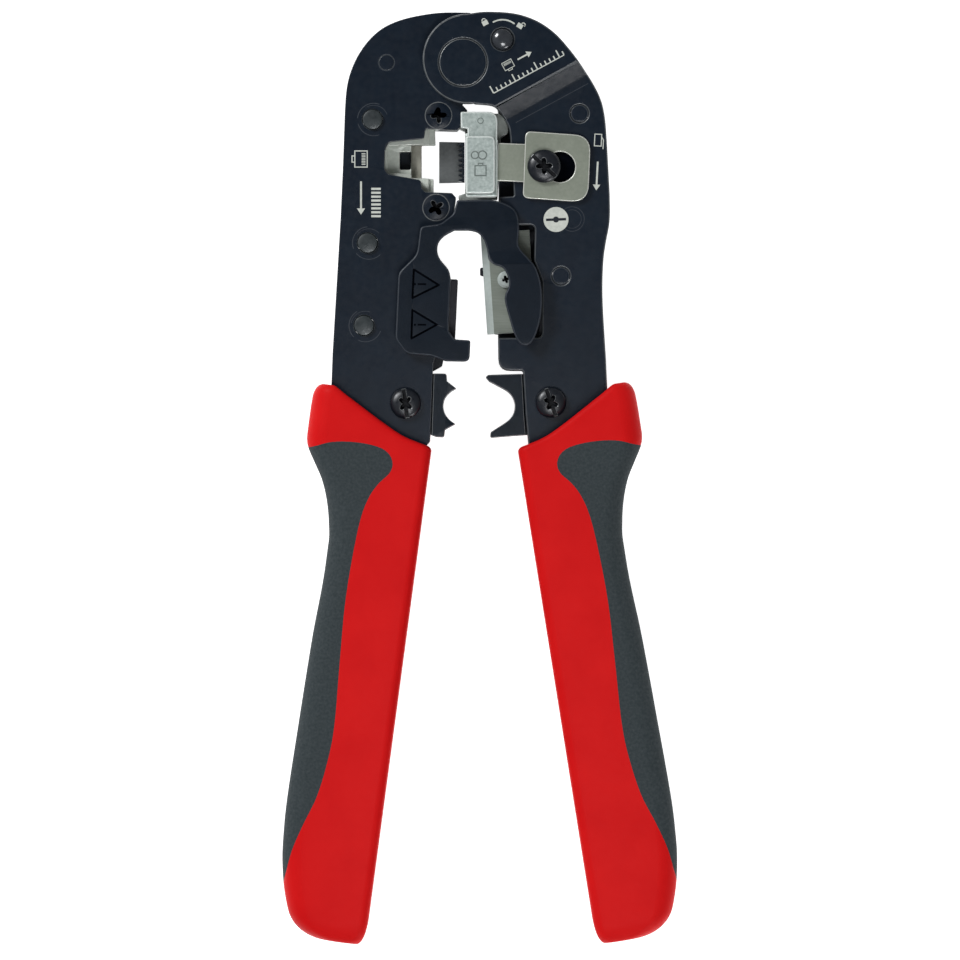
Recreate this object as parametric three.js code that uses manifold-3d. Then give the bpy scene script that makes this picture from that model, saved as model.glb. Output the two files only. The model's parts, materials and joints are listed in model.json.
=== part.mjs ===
// Modular-plug crimping tool, lying flat: +X right, +Y toward the head, +Z up, millimetres.
// Everything is drawn about the arm's pivot, then the whole group is shifted so that the
// bottom centre of the tool's box is the origin.
import * as THREE from 'three';
import { mergeVertices, toCreasedNormals } from 'three/addons/utils/BufferGeometryUtils.js';
import Module from 'manifold-3d';

const wasm = await Module();
wasm.setup();

// Where the pivot sits in the finished part.
const PIVOT_X = -3.3;
const PIVOT_Y = 82.9;

// Heights above and below the tool's middle plane.
const HANDLE_HALF = 9.25;
const PLATE_IN = 2.5;
const PLATE_OUT = 5.0;
const RAISED_IN = 5.3;
const RAISED_OUT = 7.8;
const JAW_HALF = 4.7;
const INNER_HALF = 2.4;

// Running clearances.
const FIT = 0.05;
const SEAM = 0.12;

// Pivot and return spring.
const PIN_RADIUS = 4.0;
const PIN_HEAD_RADIUS = 4.75;
const BOSS_RADIUS = 7.6;
const SPRING_RADIUS = 5.6;
const SPRING_WIRE = 0.45;
const SPRING_PITCH = 1.15;
const SPRING_TURNS = 3;

// The sheet-metal step of the arm plates: a slope between two distances from the pivot,
// measured square to the fold line.
const FOLD_NORMAL = [0.484, -0.875];
const FOLD_START = 10.0;
const FOLD_END = 13.3;

// Plug nest, crimping die and the plug's eight contacts.
const SLIDE_TILT = THREE.MathUtils.degToRad(-2.3);
const TOOTH_COUNT = 8;
const TOOTH_PITCH = 1.02;
const TOOTH_TOP_Y = -16.3;
const TRIM_BOTTOM = -2.3;
const TRIM_TOP = -1.3;

// Wire cutter.
const BLADE_TILT = THREE.MathUtils.degToRad(3.8);
const BLADE_LENGTH = 20.4;
const BLADE_WIDTH = 9.8;
const BLADE_BEVEL = 1.4;

// Fasteners: [x, y, radius].
const FRAME_RIVETS = [[-18.1, -11.3, 2.0], [-19.1, -36.0, 2.0], [-19.8, -52.5, 2.0]];
const TOP_RIVET = [-15.3, 0.1, 1.55];
const ARM_RIVETS = [[23.3, -10.1, 1.75], [19.6, -42.6, 1.75]];
const NEST_SCREWS = [[-4.9, -10.5], [-5.4, -28.9]];
const CLIP_SCREW_LEFT = [-11.5, -68.1];
const CLIP_SCREW_RIGHT = [17.6, -67.9];
const ADJUSTER_SCREW = [16.2, -20.7];
const BLADE_SCREW = [8.6, -43.2];
const LOCK_BUTTON = [7.9, 4.6];
const RIVET_PROUD = 0.8;
const CLIP_HEAD_RADIUS = 3.1;
const ADJUSTER_HEAD_RADIUS = 3.35;

// Handles: each is the same moulding in its own frame, u down its length and v outward
// from its straight inner edge.
const HANDLE_WALL = 2.0;
const HANDLE_CORNER = 5.0;
const LEFT_HANDLE = { x: -6.5, y: -76.0, tilt: THREE.MathUtils.degToRad(-7.63), side: -1 };
const RIGHT_HANDLE = { x: 11.0, y: -76.0, tilt: THREE.MathUtils.degToRad(9.05), side: 1 };

const COLOURS = {
  plate: [0x1c2129, 0.45, 0.6],
  raised: [0x20262e, 0.45, 0.6],
  inner: [0x2e3438, 0.5, 0.7],
  steel: [0xa5aba6, 0.35, 0.95],
  blade: [0x737c72, 0.3, 1.0],
  dark: [0x191e25, 0.4, 0.7],
  guard: [0x1d252e, 0.5, 0.0],
  red: [0xc82022, 0.35, 0.0],
  grip: [0x363d40, 0.85, 0.0],
};

const tool = new THREE.Group();
tool.position.set(PIVOT_X, PIVOT_Y, HANDLE_HALF);

// ---------------------------------------------------------------- solids

// A closed geometry as a solid that can be joined and cut.
function solid(geometry) {
  const bare = geometry.clone();
  bare.deleteAttribute('normal');
  bare.deleteAttribute('uv');
  const merged = mergeVertices(bare, 1e-5);
  return new wasm.Manifold(new wasm.Mesh({
    numProp: 3,
    vertProperties: Float32Array.from(merged.attributes.position.array),
    triVerts: Uint32Array.from(merged.index.array),
  }));
}

// A solid as a three.js geometry with creased normals.
function surface(body) {
  const mesh = body.getMesh();
  const geometry = new THREE.BufferGeometry();
  geometry.setAttribute('position', new THREE.BufferAttribute(mesh.vertProperties, 3));
  geometry.setIndex(new THREE.BufferAttribute(mesh.triVerts, 1));
  return toCreasedNormals(geometry.toNonIndexed(), 0.6);
}

function join(...bodies) {
  return bodies.reduce((whole, body) => whole.add(body));
}

function cut(body, ...tools) {
  return tools.reduce((rest, piece) => rest.subtract(piece), body);
}

function add(name, body, colour) {
  const [color, roughness, metalness] = COLOURS[colour];
  const material = new THREE.MeshStandardMaterial({ color, roughness, metalness });
  const mesh = new THREE.Mesh(surface(body), material);
  mesh.name = name;
  tool.add(mesh);
}

// An outline of corners [x, y, radius]; a corner with a radius is rounded.
function outline(corners) {
  const shape = new THREE.Shape();
  const count = corners.length;
  for (let i = 0; i < count; i += 1) {
    const [x, y, radius = 0] = corners[i];
    const corner = new THREE.Vector2(x, y);
    if (radius === 0) {
      if (i === 0) shape.moveTo(x, y);
      else shape.lineTo(x, y);
      continue;
    }
    const before = new THREE.Vector2(...corners[(i + count - 1) % count]).sub(corner);
    const after = new THREE.Vector2(...corners[(i + 1) % count]).sub(corner);
    const turn = before.angleTo(after);
    const reach = Math.min(radius / Math.tan(turn / 2), before.length() * 0.49, after.length() * 0.49);
    const start = before.setLength(reach).add(corner);
    const end = after.setLength(reach).add(corner);
    if (i === 0) shape.moveTo(start.x, start.y);
    else shape.lineTo(start.x, start.y);
    shape.quadraticCurveTo(x, y, end.x, end.y);
  }
  shape.closePath();
  return shape;
}

// Points along a smooth curve through a few corners.
function smooth(corners, divisions = 5) {
  const curve = new THREE.SplineCurve(corners.map(([x, y]) => new THREE.Vector2(x, y)));
  return curve.getPoints((corners.length - 1) * divisions).map((point) => [point.x, point.y]);
}

// A flat piece between two heights.
function slab(corners, bottom, top, curveSegments = 5) {
  const depth = top - bottom;
  const geometry = new THREE.ExtrudeGeometry(outline(corners), { depth, curveSegments, bevelEnabled: false });
  return solid(geometry.translate(0, 0, bottom));
}

// A round piece standing along Z, from a profile of [radius, height].
function turned(profile, x, y, sides = 32) {
  const points = profile.map(([radius, height]) => new THREE.Vector2(radius, height));
  const geometry = new THREE.LatheGeometry(points, sides);
  return solid(geometry.rotateX(Math.PI / 2).translate(x, y, 0));
}

function rod(x, y, radius, bottom, top, sides = 32) {
  return turned([[0, bottom], [radius, bottom], [radius, top], [0, top]], x, y, sides);
}

function box(left, right, front, back, bottom, top) {
  const geometry = new THREE.BoxGeometry(right - left, back - front, top - bottom);
  return solid(geometry.translate((left + right) / 2, (front + back) / 2, (bottom + top) / 2));
}

// Corners of a rectangle with one corner radius.
function rectangle(left, right, front, back, radius = 0) {
  return [[left, front, radius], [right, front, radius], [right, back, radius], [left, back, radius]];
}

// A solid turned about the Z axis through a point.
function spun(body, x, y, angle) {
  return body.translate([-x, -y, 0]).rotate([0, 0, THREE.MathUtils.radToDeg(angle)]).translate([x, y, 0]);
}

// ---------------------------------------------------------------- fasteners

// A pan head with a shank below it and a cross recess, its head resting at the given height.
function panScrew([x, y], headRadius, shankRadius, seat, tip, headHeight, turn) {
  const dome = seat + headHeight;
  const body = turned([
    [0, tip], [shankRadius, tip], [shankRadius, seat], [headRadius, seat],
    [headRadius, seat + headHeight * 0.45], [headRadius * 0.9, seat + headHeight * 0.8],
    [headRadius * 0.65, dome], [0, dome],
  ], x, y);
  const reach = headRadius * 0.6;
  const width = headRadius * 0.13;
  const slot = box(x - reach, x + reach, y - width, y + width, dome - headHeight * 0.55, dome + 1);
  return cut(body, spun(slot, x, y, turn), spun(slot, x, y, turn + Math.PI / 2));
}

// Profile of a countersunk screw, grown by a gap when it is used as a cutter.
function countersunk(gap) {
  return [
    [0, -4.4 - gap], [1.2 + gap, -4.4 - gap], [1.2 + gap, 3.6],
    [2.6 + gap, PLATE_OUT], [0, PLATE_OUT],
  ];
}

function countersunkHole([x, y]) {
  return turned([...countersunk(FIT).slice(0, -1), [2.6 + FIT, PLATE_OUT + 1], [0, PLATE_OUT + 1]], x, y);
}

function countersunkScrew([x, y]) {
  const body = turned(countersunk(0), x, y);
  const slot = box(x - 1.5, x + 1.5, y - 0.32, y + 0.32, PLATE_OUT - 0.9, PLATE_OUT + 1);
  return cut(body, spun(slot, x, y, 0.5), spun(slot, x, y, 0.5 + Math.PI / 2));
}

function throughHole([x, y, radius]) {
  return rod(x, y, radius + FIT, -10, 10, 24);
}

// A proud rivet: a pin whose ends stand above both plates.
function proudRivet([x, y, radius]) {
  const end = PLATE_OUT + RIVET_PROUD;
  const edge = radius - 0.25;
  const profile = [
    [0, -end], [edge, -end], [radius, -end + 0.25], [radius, end - 0.25], [edge, end], [0, end],
  ];
  return turned(profile, x, y, 24);
}

function flushRivet([x, y, radius]) {
  return rod(x, y, radius, -PLATE_OUT, PLATE_OUT, 24);
}

// ---------------------------------------------------------------- frame

const FRAME_LEFT_EDGE = [
  ...smooth([[1.5, 10.1], [-4.2, 10.1], [-8.8, 9.5], [-12.8, 8.5], [-16.2, 6.9], [-19.0, 4.4],
    [-21.2, 1.2], [-22.7, -2.4], [-23.4, -6.0], [-23.7, -11.0]], 4),
  [-24.0, -19.8], [-24.5, -31], [-25.2, -42], [-26.1, -58], [-26.4, -66],
];
const FRAME_TANG = [[-23.8, -90], [-23.4, -112, 2], [-15.6, -112, 2], [-12.6, -90], [-9.6, -78.6, 1]];
const FRAME_RIGHT_EDGE = [
  [-6.6, -75.8, 1], [-6.0, -60.2, 1], [-5.4, -58.2, 2], [-2.8, -55.6, 2], [-2.8, -42.4, 2],
  [-5.7, -39.0, 2], [-5.7, -36.0, 2], [-2.2, -33.0, 2],
];
const FRONT_NEST_EDGE = [
  [-1.4, -26.9, 0.3], [-2.2, -26.0, 0.4], [-7.6, -25.8, 0.5], [-8.2, -25.1, 0.4], [-8.5, -23.4, 0.6],
  [-15.1, -22.2, 1], [-15.7, -21.2, 0.8], [-15.6, -17.4, 1.2], [-14.9, -15.8, 1], [-7.8, -15.1, 0.5],
  [-7.5, -13.1, 0.5], [-1.2, -13.5, 0.4], [-0.6, -12.8, 0.4], [-0.5, -10.4], [1.0, -9.6, 0.3],
  [-0.1, -8.4],
];
const BACK_NEST_EDGE = [
  [-1.4, -26.9, 0.3], [-2.2, -26.0, 0.4], [-8.7, -25.7, 0.8], [-8.7, -13.2, 0.8],
  [-1.2, -13.4, 0.4], [-0.6, -12.8, 0.4], [-0.8, -8.6],
];

// One side plate of the frame, between its two heights.
function framePlate(nestEdge, bottom, top) {
  const rightEdge = [...FRAME_RIGHT_EDGE, ...nestEdge, [0.5, -7.0], [1.5, 0]];
  const corners = [...FRAME_LEFT_EDGE, ...FRAME_TANG, ...rightEdge];
  const plate = join(slab(corners, bottom, top), rod(0, 0, BOSS_RADIUS, bottom, top, 48));
  const holes = [...FRAME_RIVETS, TOP_RIVET, [...CLIP_SCREW_LEFT, 1.5], [0, 0, PIN_RADIUS]].map(throughHole);
  return cut(plate, ...holes, ...NEST_SCREWS.map(countersunkHole));
}

function frameSpacer() {
  const corners = [
    [-7.9, 7.4, 1], [-12.4, 7.7, 6], [-17.6, 4.7, 6], [-20.2, 1.6, 6], [-22.6, -5.2, 6],
    [-23.3, -19.8], [-23.8, -31], [-24.5, -42], [-25.4, -58], [-25.7, -66], [-23.1, -90],
    [-22.7, -110, 2], [-16.3, -110, 2], [-13.3, -90], [-10.6, -78.9, 1], [-9.2, -76.2, 1], [-16.6, -76.2, 1],
    [-16.6, -61.4, 1], [-6.0, -61.6, 1], [-4.2, -60.6, 0.5], [-3.9, -59.2, 0.5], [-6.2, -56.4, 1],
    [-10.4, -56.4, 0.5], [-10.4, -42.2, 0.5], [-6.8, -41.4, 2], [-6.8, -33.4, 2], [-10.0, -31.8, 0.5],
    [-17.9, -27.6, 0.5], [-17.9, -11.4, 0.5], [-9.6, -8.0, 0.5], [-8.3, -5.6, 1], [-9.6, 0, 4],
  ];
  const holes = [...FRAME_RIVETS, TOP_RIVET].map(throughHole);
  return cut(slab(corners, -INNER_HALF, INNER_HALF), ...holes);
}

// The insert that holds the plug, with the pocket for the plug's latch.
function plugNest() {
  const corners = [
    [-9.3, -8.6, 0.5], [-3.3, -8.9, 0.5], [-3.3, -12.6, 0.5], [-5.6, -13.4, 0.3], [-5.5, -16.4, 0.3],
    [-8.3, -16.4, 0.2], [-8.3, -22.9, 0.2], [-5.9, -23.1, 0.3], [-5.9, -26.3, 0.3], [-3.3, -27.0, 0.3],
    [-3.3, -31.4, 0.5], [-9.4, -31.2, 0.5], [-9.8, -27.4, 0.5], [-17.5, -27.2, 0.5], [-17.5, -11.7, 0.5],
    [-9.6, -11.4, 0.5],
  ];
  const body = slab(corners, -INNER_HALF, INNER_HALF);
  const pocket = slab([[-15.1, -21.8, 0.8], [-8, -22.4], [-8, -16.2], [-15.1, -16.5, 0.8]], 0.9, 3);
  const step = slab(rectangle(-10.3, -8, -22.9, -16.4), -0.4, 3);
  const shoulderStep = slab(rectangle(-6.85, -5, -26.8, -12.9), 1.8, 3);
  const latchSlot = slab(rectangle(-12.7, -10.5, -21.2, -17.6, 0.4), -3, 3);
  const trimChannel = slab(rectangle(-8.2, 0, -24.2, -15.0), -3, TRIM_TOP + 0.25);
  const holes = [throughHole(FRAME_RIVETS[0]), ...NEST_SCREWS.map(countersunkHole)];
  return cut(body, pocket, step, shoulderStep, latchSlot, trimChannel, ...holes);
}

function pivotPin() {
  const profile = [
    [0, -RAISED_OUT], [PIN_HEAD_RADIUS, -RAISED_OUT], [PIN_HEAD_RADIUS, -5.2], [PIN_RADIUS, -5.2],
    [PIN_RADIUS, 5.2], [PIN_HEAD_RADIUS, 5.2], [PIN_HEAD_RADIUS, RAISED_OUT], [0, RAISED_OUT],
  ];
  return turned(profile, 0, 0, 48);
}

// Torsion spring about the pivot, one leg on the frame and one toward the arm.
function returnSpring() {
  const halfHeight = SPRING_TURNS * SPRING_PITCH / 2;
  const start = THREE.MathUtils.degToRad(75);
  const sweep = THREE.MathUtils.degToRad(360 * SPRING_TURNS + 50);
  const steps = 24 * SPRING_TURNS;
  const points = [new THREE.Vector3(-7.2, 7.0, -halfHeight)];
  for (let i = 0; i <= steps; i += 1) {
    const angle = start - sweep * i / steps;
    const rise = halfHeight * (2 * i / steps - 1);
    points.push(new THREE.Vector3(SPRING_RADIUS * Math.cos(angle), SPRING_RADIUS * Math.sin(angle), rise));
  }
  points.push(new THREE.Vector3(9.9, -8.0, halfHeight));
  const wire = new THREE.Shape().absarc(0, 0, SPRING_WIRE, 0, Math.PI * 2);
  const extrudePath = new THREE.CatmullRomCurve3(points, false, 'centripetal');
  return solid(new THREE.ExtrudeGeometry(wire, { steps: 100, curveSegments: 4, extrudePath }));
}

function cuttingAnvil() {
  const corners = [[-9.8, -43.0, 0.5], [-1.0, -43.2, 0.4], [-1.6, -55.6, 0.4], [-9.8, -55.8, 0.5]];
  return slab(corners, -INNER_HALF, INNER_HALF);
}

const LEFT_BOWL = smooth([
  [-1.3, -65.1], [-2.6, -65.9], [-3.6, -67.1], [-3.95, -68.6], [-3.6, -70.1], [-2.7, -71.3], [-1.5, -72.2],
]);
const RIGHT_BOWL = smooth([
  [6.9, -64.6], [8.7, -65.6], [9.8, -66.7], [10.35, -68.3], [10.1, -70.0], [9.1, -71.4], [7.4, -72.6],
]);
const CLIP_LEFT = [
  [-15.9, -62.0, 0.5], [-3.3, -62.1, 0.5], [-3.2, -63.6, 0.3], ...LEFT_BOWL,
  [-3.6, -73.4, 0.3], [-3.8, -74.9, 0.5], [-5.4, -74.8, 0.4], [-6.4, -74.4, 0.4], [-15.9, -75.6, 0.5],
];
const CLIP_RIGHT = [
  [21.0, -61.9, 0.5], [5.0, -62.35, 0.4], [4.45, -62.8, 0.3], [5.2, -63.7, 0.4], ...RIGHT_BOWL,
  [5.5, -73.8, 0.4], [5.4, -75.0, 0.4], [12.8, -74.4, 0.4], [21.0, -75.2, 0.5],
];

const LEFT_JAW = [[-5.8, -60], [0, -60], [0, -77], [-6.35, -77]];
const RIGHT_JAW = [[0, -60], [11.7, -60], [12.2, -70.1], [12.75, -77], [0, -77]];

// A die held between the plates, whose jaw stands out to their level beside their edge.
function clipDie(corners, jaw, screw) {
  const shank = slab(corners, -INNER_HALF, INNER_HALF);
  const head = slab(corners, -JAW_HALF, JAW_HALF).intersect(slab(jaw, -10, 10));
  return cut(join(shank, head), throughHole([...screw, 1.5]));
}

// ---------------------------------------------------------------- blade guard

const GUARD_RIGHT_LEG = smooth([
  [5.6, -27.4], [8.0, -28.0], [10.0, -29.1], [11.0, -30.8], [11.2, -33.6], [11.1, -36.6], [12.8, -38.8],
  [14.5, -40.9], [15.5, -44.0], [15.8, -47.4], [15.5, -51.0], [14.7, -54.0], [13.7, -55.9], [12.4, -56.6],
  [11.2, -56.0], [10.2, -54.2], [9.4, -51.6], [8.3, -47.2], [9.1, -44.8], [9.0, -43.0], [8.0, -41.1],
  [6.2, -40.4], [5.1, -39.3], [4.8, -37.4], [4.2, -35.6], [3.0, -34.1], [1.1, -33.6],
], 3);
const GUARD_CABLE_MOUTH = smooth([
  [-1.7, -33.6], [-3.7, -34.7], [-4.9, -36.1], [-5.1, -37.8], [-4.5, -39.4], [-2.9, -41.4], [-2.45, -43.2],
], 3);
const GUARD = [
  [-1.2, -27.5, 0.4], ...GUARD_RIGHT_LEG, ...GUARD_CABLE_MOUTH,
  [-2.9, -53.6, 1.5], [-1.7, -55.3, 1], [1.5, -55.5, 0.5], [1.3, -59.8, 1.2], [-3.4, -59.7, 1],
  [-6.4, -58.6, 3], [-11.4, -58.2, 2.5], [-13.5, -55.2, 2.5], [-12.9, -42.0, 2.5], [-9.2, -38.4, 3.5],
  [-8.5, -32.8, 1], [-4.4, -32.2, 2.5], [-1.9, -30.2, 2],
];
const ARROW_INNER_SCALE = 0.78;
const GUARD_ARROWS = [
  [[-10.0, -41.0, 0.25], [-10.3, -47.4, 0.25], [-4.4, -44.5, 0.25]],
  [[-10.3, -49.1, 0.25], [-10.5, -55.5, 0.25], [-4.8, -52.4, 0.25]],
];

// Side view of the guard, [y, z]: it steps up below the nest and again over the blade.
const GUARD_STEP_UNDER = [[-20, 6.3], [-38.2, 6.3], [-40.2, 7.0], [-70, 7.0]];
const GUARD_STEP_OVER = [[-70, 8.6], [-40.2, 8.6], [-38.2, 7.8], [-32.4, 7.8], [-31.0, 7.1], [-20, 7.1]];

// A sheet of the guard's side view, spread between two x values.
function guardSheet(sideView, left, right) {
  return slab(sideView, left, right).rotate([90, 0, 90]);
}

// A groove along the outline of a triangle in the guard's face.
function arrowGroove(corners) {
  const middleX = corners.reduce((sum, [x]) => sum + x, 0) / corners.length;
  const middleY = corners.reduce((sum, [, y]) => sum + y, 0) / corners.length;
  const inner = corners.map(([x, y]) => [
    middleX + (x - middleX) * ARROW_INNER_SCALE,
    middleY + (y - middleY) * ARROW_INNER_SCALE,
  ]);
  return slab(corners, 7.55, 9, 3).subtract(slab(inner, 7, 10, 3));
}

// An n-shaped moulding: a thick left leg on the frame and a thin right leg over the arm.
function bladeGuard() {
  const block = slab(GUARD, PLATE_OUT + FIT, 9, 4);
  const leftSide = [[-20, 4], [-70, 4], [-70, 7.8], [-32.4, 7.8], [-31.0, 7.1], [-20, 7.1]];
  const rightSide = [...GUARD_STEP_UNDER, ...GUARD_STEP_OVER];
  const left = block.intersect(guardSheet(leftSide, -20, 1.6));
  const right = block.intersect(guardSheet(rightSide, 1.5, 20));
  return cut(join(left, right), ...GUARD_ARROWS.map(arrowGroove));
}

// ---------------------------------------------------------------- arm

const ARM_RIGHT_EDGE = [
  ...smooth([[0.9, 9.7], [4.6, 10.15], [10.2, 9.8], [14.6, 8.4], [18.2, 6.0], [20.9, 3.1], [23.5, -0.3],
    [25.9, -3.9], [27.6, -7.4], [28.4, -11.0], [28.8, -16.0], [29.2, -23.0], [29.4, -28.0], [29.3, -32.0],
    [28.6, -35.8], [28.1, -39.5], [27.9, -45.0], [28.1, -51.0], [28.6, -59.0]], 4),
  [29.0, -68.0],
];
const ARM_TANG = [[28.3, -90], [30.0, -112, 2], [20.6, -112, 2], [17.0, -90], [14.4, -78.9, 1]];
const ARM_LOWER_EDGE = [[13.1, -76.6, 0.8], [12.5, -70.1], [12.0, -61.5, 0.5], [7.1, -61.5, 2.5]];
const BLADE_WINDOW = [
  [7.0, -55.0, 0.3], [15.8, -54.9, 1], [15.9, -43.7, 2], [14.2, -39.4, 2], [14.4, -32.4, 1],
  [7.2, -32.4, 0.5],
];
const TONGUE_POCKET = [[7.2, -26.8, 0.3], [10.2, -26.6, 0.3]];

// The arm plates' edge round the top of the die, up to the teardrop over the pivot.
const FRONT_HOOK = smooth([
  [9.4, -14.5], [9.15, -12.9], [8.4, -11.4], [7.3, -9.8], [6.1, -8.8], [4.4, -8.5], [2.2, -8.35],
], 4);
const BACK_HOOK = smooth([[7.1, -13.5], [7.1, -10.5], [6.8, -8.6], [5.9, -7.4], [4.2, -7.0]], 4);

// A sheet that follows the fold: raised near the pivot, level with the frame beyond it.
function foldedSheet(outward) {
  const thickness = PLATE_OUT - PLATE_IN;
  const low = PLATE_IN;
  const high = RAISED_IN;
  const slope = thickness * 0.35;
  const profile = [
    [-30, high], [FOLD_START, high], [FOLD_END, low], [130, low],
    [130, low + thickness], [FOLD_END + slope, low + thickness], [FOLD_START + slope, high + thickness],
    [-30, high + thickness],
  ];
  const sheet = slab(profile.map(([s, z]) => [s, z * outward]), -70, 70);
  const angle = THREE.MathUtils.radToDeg(Math.atan2(FOLD_NORMAL[1], FOLD_NORMAL[0]));
  return sheet.rotate([90, 0, 0]).rotate([0, 0, angle]);
}

function armPlate(innerEdge, discRadius, outward) {
  const corners = [...ARM_RIGHT_EDGE, ...ARM_TANG, ...ARM_LOWER_EDGE, ...innerEdge, [0.9, -6]];
  const plan = join(slab(corners, -10, 10), rod(0.9, 0.7, discRadius, -10, 10, 64));
  const holes = [...ARM_RIVETS, [...CLIP_SCREW_RIGHT, 1.5], [...ADJUSTER_SCREW, 1.5]].map(throughHole);
  const pinHole = rod(0, 0, PIN_HEAD_RADIUS + FIT, -10, 10, 48);
  return cut(plan.intersect(foldedSheet(outward)), ...holes, pinHole);
}

function armPlateFront() {
  const innerEdge = [...BLADE_WINDOW, ...TONGUE_POCKET, ...FRONT_HOOK];
  const button = rod(...LOCK_BUTTON, 2.15 + FIT, 0, 10, 24);
  return cut(armPlate(innerEdge, 9.0, 1), button);
}

function armPlateBack() {
  const innerEdge = [
    [7.0, -55.2], [7.0, -54.2], [5.8, -54.0, 0.5], [5.6, -34.2, 0.5], [7.1, -32.0, 1], ...BACK_HOOK,
  ];
  return cut(armPlate(innerEdge, 8.0, -1), throughHole([...BLADE_SCREW, 1.0]));
}

function armSpacer() {
  const corners = [
    [13.0, -11.0, 1], [26.6, -7.6, 3], [28.2, -20, 3], [28.7, -29.0, 3], [27.2, -38.4, 4], [27.0, -46.0],
    [27.8, -61.0], [28.2, -68.0], [27.5, -90], [29.2, -110, 2], [21.3, -110, 2], [17.8, -90],
    [15.4, -79.4, 1], [14.6, -77.0, 1], [21.8, -76.4, 1], [21.8, -61.3, 0.5], [9.6, -61.0, 1],
    [8.6, -59.0, 1], [8.6, -55.4, 0.5], [15.3, -54.8, 0.5], [15.3, -32.6, 0.5], [11.2, -30.6, 1],
    [11.2, -13.0, 1],
  ];
  const seat = slab([[5.9, -34.4, 0.4], [15.6, -33.4], [15.6, -54.4], [6.2, -54.2, 0.4],
    [5.7, -42.8, 0.2], [3.4, -42.4, 0.4], [3.4, -40.8, 0.4], [5.6, -40.6, 0.2]], -INNER_HALF, -0.7);
  const holes = [...ARM_RIVETS, [...ADJUSTER_SCREW, 1.5], [...BLADE_SCREW, 1.0]].map(throughHole);
  return cut(join(slab(corners, -INNER_HALF, INNER_HALF), seat), ...holes);
}

// Flat cutter, ground to an edge along its left side.
function blade() {
  const profile = [
    [0, 0.2], [BLADE_BEVEL, -0.6], [BLADE_WIDTH, -0.6], [BLADE_WIDTH, 0.9], [BLADE_BEVEL, 0.9], [0, 0.4],
  ];
  const bar = slab(profile, 0, BLADE_LENGTH).rotate([90, 0, 0]);
  const tilted = bar.rotate([0, 0, THREE.MathUtils.radToDeg(BLADE_TILT)]);
  return cut(tilted.translate([3.5, -33.9, 0]), throughHole([...BLADE_SCREW, 1.0]));
}

function bladeScrew() {
  const [x, y] = BLADE_SCREW;
  const profile = [[0, -4.8], [1.0, -4.8], [1.0, 0.95], [1.7, 0.95], [1.7, 1.5], [1.3, 1.8], [0, 1.8]];
  return turned(profile, x, y, 24);
}

// ---------------------------------------------------------------- die and adjuster

// The steel block that the adjuster pushes, with a pocket for the adjuster's tongue.
function dieBlock() {
  const base = slab(rectangle(0.4, 6.9, -25.4, -14.0, 0.4), INNER_HALF, PLATE_OUT + FIT);
  const flange = slab([
    [-0.5, -9.8, 0.4], [-0.4, -13.1, 0.3], [0.9, -13.2, 0.2], [0.9, -14.6, 0.2], [0.6, -14.8],
    [0.6, -26.9, 0.4], [6.9, -26.9, 0.6], [6.9, -9.8, 2],
  ], PLATE_OUT + FIT, 6.3);
  const pocket = slab(rectangle(2.4, 9, -25.3, -15.7), PLATE_OUT + FIT, 6.2);
  const cap = slab([[0.6, -14.7, 0.4], [0.6, -26.2, 0.4], [6.4, -26.2, 1.2], [6.4, -14.7, 1.2]], 6.2, 7.2);
  return join(cut(flange, pocket), base, cap);
}

// The slide under the block: tabs run between the frame plates, its back is rounded.
function dieCarrier() {
  const corners = [
    [-0.9, -10.0, 0.4], ...smooth([[7.3, -10.0], [8.4, -11.3], [9.0, -12.9], [8.9, -14.0], [7.6, -14.9]]),
    [6.9, -27.3, 0.5], [-0.9, -27.3, 0.4], [-0.9, -26.4], [0.4, -26.0], [0.4, -13.6], [-0.9, -13.0],
  ];
  return slab(corners, -INNER_HALF + FIT, INNER_HALF - FIT);
}

function contactComb() {
  const strip = slab(rectangle(-0.2, 0.3, -23.8, -16.0), TRIM_TOP + 0.2, 4.9);
  const teeth = [];
  for (let i = 0; i < TOOTH_COUNT; i += 1) {
    const y = TOOTH_TOP_Y - i * TOOTH_PITCH;
    teeth.push(slab([[-0.9, y - 0.15], [0, y - 0.28], [0, y + 0.28], [-0.9, y + 0.15]], 0.4, 4.9));
  }
  return join(strip, ...teeth);
}

function trimBlade() {
  return slab([[-4.8, -15.5], [-4.8, -23.8], [0.3, -23.7], [0.3, -15.6]], TRIM_BOTTOM, TRIM_TOP);
}

// A sliding plate with a keyhole for its clamping screw and a tongue that meets the die.
function adjusterPlate() {
  const bottom = PLATE_OUT + 0.15;
  const corners = [[12.2, -13.8, 1.2], [25.3, -14.2, 3.5], [25.3, -27.6, 3.5], [12.2, -27.2, 1.2]];
  const plate = slab(corners, bottom, 6.1, 8);
  const tongue = slab(rectangle(6.8, 13, -24.0, -16.4, 0.4), bottom, 6.05);
  const [x, y] = ADJUSTER_SCREW;
  const slotCorners = [
    [x - 1.6, y - 1.6, 1.5], [x + 3.2, y - 1.6], [x + 3.2, y + 1.6], [x - 1.6, y + 1.6, 1.5],
  ];
  const slot = slab(slotCorners, 4, 8);
  const keyhole = rod(x + 3.2, y, 3.05, 4, 8, 40);
  const body = cut(join(plate, tongue), slot, keyhole);
  return spun(body, x, y, SLIDE_TILT);
}

function lockButton() {
  const profile = [
    [0, 6.5], [2.15, 6.5], [2.15, 8.0], [1.95, 8.5], [1.5, 8.8], [0.8, 9.0], [0, 9.05],
  ];
  return turned(profile, ...LOCK_BUTTON, 24);
}

// ---------------------------------------------------------------- handles

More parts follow.
